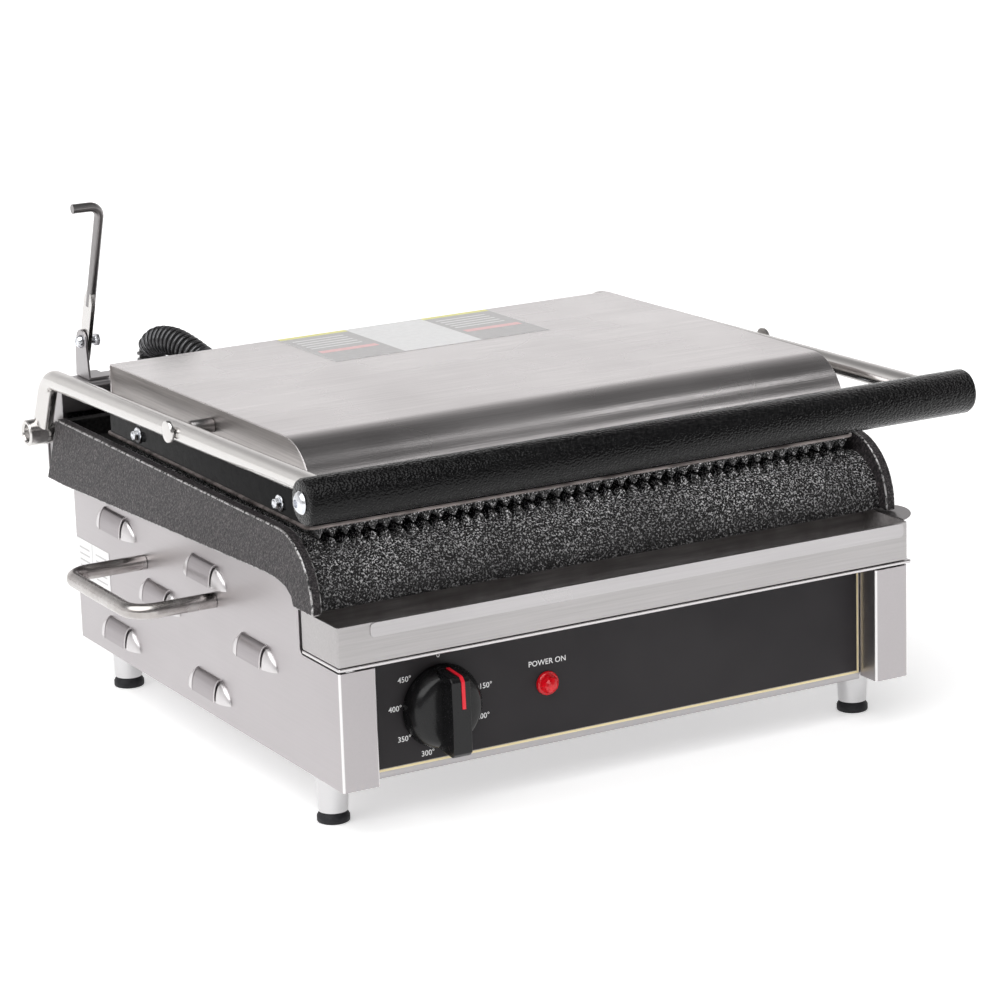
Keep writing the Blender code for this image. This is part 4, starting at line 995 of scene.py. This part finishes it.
def lever():
    y, z, x = 0.2165, 0.2140, -0.1640
    low = x - 0.0035
    tab = [(0.2065, 0.1903), (0.2275, 0.1903), (0.2258, z)] + arc((y, z), 0.0077, 0, 180,
                                                                  16) + [(0.2092, z - 0.002)]
    bracket = Shape().prism(tab, "X", low, low + 0.0015)
    bracket.block((low + 0.0005, 0.2065, 0.1903), (low + 0.014, 0.2275, 0.1917))
    bracket.skin("front", "base", "lever_bracket", bevel=0.0003)
    lean = math.radians(20)
    turn = Matrix.Translation((x, y, z)) @ Matrix.Rotation(lean, 4, "X")
    arm = Shape()
    strap = [(-0.0060, 0.030), (-0.0060, -0.005)] + arc((0, -0.009), 0.0060, 180, 360, 12)[1:]
    strap += [(0.0060, 0.030), (0.0030, 0.036), (-0.0030, 0.036)]
    arm.prism(strap, "X", -0.0015, 0.0015)
    bmesh.ops.transform(arm.work, matrix=turn, verts=arm.work.verts)
    arm.piece("lever_strap", "tube", "lever", "lock_lever", bevel=0.0004)
    wire = fillet([(0.0008, 0, 0.026), (0.0008, 0, 0.0984), (-0.0180, 0, 0.0984)], 0.0075, 12)
    wire = [turn @ Vector(p) for p in wire]
    Shape().sweep(wire, 0.0030, 24).piece("lever_wire", "rod", "lever")
    screw = Shape()
    screw.lathe([(0.0002, -0.0024), (0.0014, -0.0024), (0.0016, -0.0030), (0.0030, -0.0026),
                 (0.0040, -0.0012), (0.0042, 0), (0.0002, 0)], (low - 0.0003, y, z), (1, 0, 0), 28)
    screw.lathe([(0.0002, 0.0002), (0.0024, 0.0002), (0.0024, 0.0088), (0.0002, 0.0088)],
                (low - 0.0003, y, z), (1, 0, 0), 24)
    screw.lathe([(0.0002, 0.0088), (0.0038, 0.0088), (0.0041, 0.0092), (0.0041, 0.0120), (0.0036, 0.0125),
                 (0.0002, 0.0125)], (low - 0.0003, y, z), (1, 0, 0), 6)
    screw.skin("zinc", "base", "lever_screw", bevel=0.0002)


def smooth_route(points, steps):
    points = [Vector(p) for p in points]
    ends = [2 * points[0] - points[1]] + points + [2 * points[-1] - points[-2]]
    route = []
    for i in range(1, len(ends) - 2):
        a, b, c, d = ends[i - 1:i + 3]
        for step in range(steps):
            t = step / steps
            route.append(0.5 * (2 * b + (c - a) * t + (2 * a - 5 * b + 4 * c - d) * t * t
                                + (3 * b - a - 3 * c + d) * t ** 3))
    return route + [points[-1]]


def hose():
    base, end = (-0.119, 0.2165, 0.1903), (-0.106, 0.1433, 0.2010)
    low, near = 0.1956, 0.1486
    route = smooth_route([(base[0], base[1], low), (base[0], base[1], low + 0.003), (-0.1188, 0.2155, 0.2036),
                          (-0.1172, 0.2065, 0.2096), (-0.1140, 0.1905, 0.2111), (-0.1105, 0.1745, 0.2077),
                          (-0.1075, 0.1630, 0.2035), (end[0], near + 0.003, end[2]), (end[0], near, end[2])],
                         24)
    lengths = [0.0]
    for a, b in zip(route, route[1:]):
        lengths.append(lengths[-1] + (b - a).length)
    spacing = 0.00045
    count = int(lengths[-1] / spacing)
    path = []
    j = 0
    for i in range(count + 1):
        want = lengths[-1] * i / count
        while j < len(route) - 2 and lengths[j + 1] < want:
            j += 1
        share = (want - lengths[j]) / max(1e-9, lengths[j + 1] - lengths[j])
        path.append(route[j].lerp(route[j + 1], share))
    start = Vector((0, 0.2060, 0)) + SHIFT
    stop = Vector((0, 0.1560, 0)) + SHIFT
    tube = Shape().sweep(path, 0.0078, 32)
    tube.piece("wiring_hose", "hollow", "base", "wiring_conduit", angle=60, blend=("arm_frame", start, stop))
    rib = []
    for i, (a, b) in enumerate(zip(path, path[1:])):
        along = (b - a).normalized()
        across = along.cross(Vector((1, 0, 0))).normalized()
        for share in (0, 1 / 3, 2 / 3):
            turn = 2 * math.pi * (i + share) * spacing / 0.0040
            rib.append(a.lerp(b, share) + (across * math.cos(turn) + along.cross(across) * math.sin(turn))
                       * 0.0082)
    Shape().sweep(rib, 0.0013, 10).piece("wiring_hose_rib", "hose", "base", angle=60,
                                         slot=node_slot("wiring_conduit"), blend=("arm_frame", start, stop))
    nut = [(0.0002, 0.0050), (0.0082, 0.0050), (0.0088, 0.0046), (0.0096, 0.0036), (0.0096, 0.0003),
           (0.0092, 0), (0.0002, 0)]
    Shape().lathe(nut, base, (0, 0, 1), 8).skin("zinc", "base", "conduit_fitting_base", bevel=0.0003)
    Shape().lathe(nut, end, (0, 1, 0), 8).skin("zinc", "platen", "conduit_fitting_platen", bevel=0.0003)


def gland():
    body = Shape().lathe([(0.0040, 0.0165), (0.0056, 0.0165), (0.0066, 0.0158), (0.0085, 0.0140),
                          (0.0085, 0.0066), (0.0118, 0.0060), (0.0125, 0.0050), (0.0125, 0.0003),
                          (0.0040, 0.0003)], GLAND, (0, 1, 0), 48)
    body.skin("plastic", "base", "cord_gland")


def repaint():
    """Nodes that keep their CAD shape get a finish by their record slot."""
    by_slot = {"brushed_stainless": "front", "cover_stainless": "cover", "polished_steel": "bright",
               "cast_iron_enamel": "iron", "black_gloss_enamel": "gloss", "handle_powder_coat": "coat",
               "panel_overlay": "overlay", "black_plastic": "plastic", "red_lens": "lens",
               "foot_rubber": "rubber", "zinc_plate": "zinc", "heater_sheath": "heater",
               "insulation_wool": "wool", "terminal_ceramic": "ceramic", "spring_steel": "spring",
               "conduit_black": "hose"}
    for name, node in NODES.items():
        look = LOOKS[by_slot[node_slot(name)]]
        node.data.materials.clear()
        node.data.materials.append(look)


# ---------------------------------------------------------------- studio
def studio():
    floor_mesh = bpy.data.meshes.new("floor")
    work = bmesh.new()
    bmesh.ops.create_grid(work, x_segments=1, y_segments=1, size=12)
    work.to_mesh(floor_mesh)
    work.free()
    floor = bpy.data.objects.new("floor", floor_mesh)
    paint = Finish("floor_paint", (0.93, 0.93, 0.93), 0.65, Emission_Color=(1, 1, 1, 1),
                   Emission_Strength=0.42)
    floor_mesh.materials.append(paint.made)
    scene.collection.objects.link(floor)

    world = bpy.data.worlds.new("studio")
    world.use_nodes = True
    scene.world = world
    tree = world.node_tree
    sky = tree.nodes["Background"]
    coords = tree.nodes.new("ShaderNodeTexCoord")
    split = tree.nodes.new("ShaderNodeSeparateXYZ")
    ramp = tree.nodes.new("ShaderNodeValToRGB")
    marks = ramp.color_ramp.elements
    for place, tone in ((0.30, 0.95), (0.52, 0.40), (0.78, 0.09)):
        marks.new(place).color = (tone, tone * 0.985, tone * 0.985, 1)
    marks[0].color = (0.95, 0.94, 0.94, 1)
    marks[len(marks) - 1].color = (0.06, 0.06, 0.06, 1)
    tree.links.new(coords.outputs["Generated"], split.inputs[0])
    tree.links.new(split.outputs["Z"], ramp.inputs["Fac"])
    front = tree.nodes.new("ShaderNodeMapRange")
    front.inputs["From Min"].default_value = -0.55
    front.inputs["From Max"].default_value = 0.10
    front.inputs["To Min"].default_value = 0.30
    tree.links.new(split.outputs["Y"], front.inputs["Value"])
    shade = tree.nodes.new("ShaderNodeVectorMath")
    shade.operation = "SCALE"
    tree.links.new(ramp.outputs["Color"], shade.inputs[0])
    tree.links.new(front.outputs["Result"], shade.inputs["Scale"])
    tree.links.new(shade.outputs["Vector"], sky.inputs["Color"])
    sky.inputs["Strength"].default_value = 1.0

    sun = bpy.data.lights.new("sun", "SUN")
    sun.energy = 2.7
    sun.angle = math.radians(70)
    shine = bpy.data.objects.new("sun", sun)
    shine.rotation_euler = Vector((-0.45, -0.25, 0.86)).to_track_quat("Z", "Y").to_euler()
    scene.collection.objects.link(shine)
    for name, place, size, power in (("glint", (1.2, -0.75, 2.1), (0.10, 0.10), 0.7),
                                     ("glint_low", (1.45, -2.1, 1.75), (0.10, 0.10), 1.3)):
        data = bpy.data.lights.new(name, "AREA")
        data.shape = "RECTANGLE"
        data.size, data.size_y = size
        data.energy = power
        light = bpy.data.objects.new(name, data)
        light.location = place
        light.rotation_euler = (Vector(place) - Vector((0, 0, 0.12))).to_track_quat("Z", "Y").to_euler()
        scene.collection.objects.link(light)
    scene.view_settings.view_transform = "Standard"


repaint()
side_panels()
back_and_floor()
shelf()
control_panel()
dial_marks()
knob()
lamp()
tray()
legs()
side_handles()
lower_plate()
upper_plate()
platen_shell()
cover()
labels()
arms()
handle()
hinge()
lever()
hose()
gland()
studio()
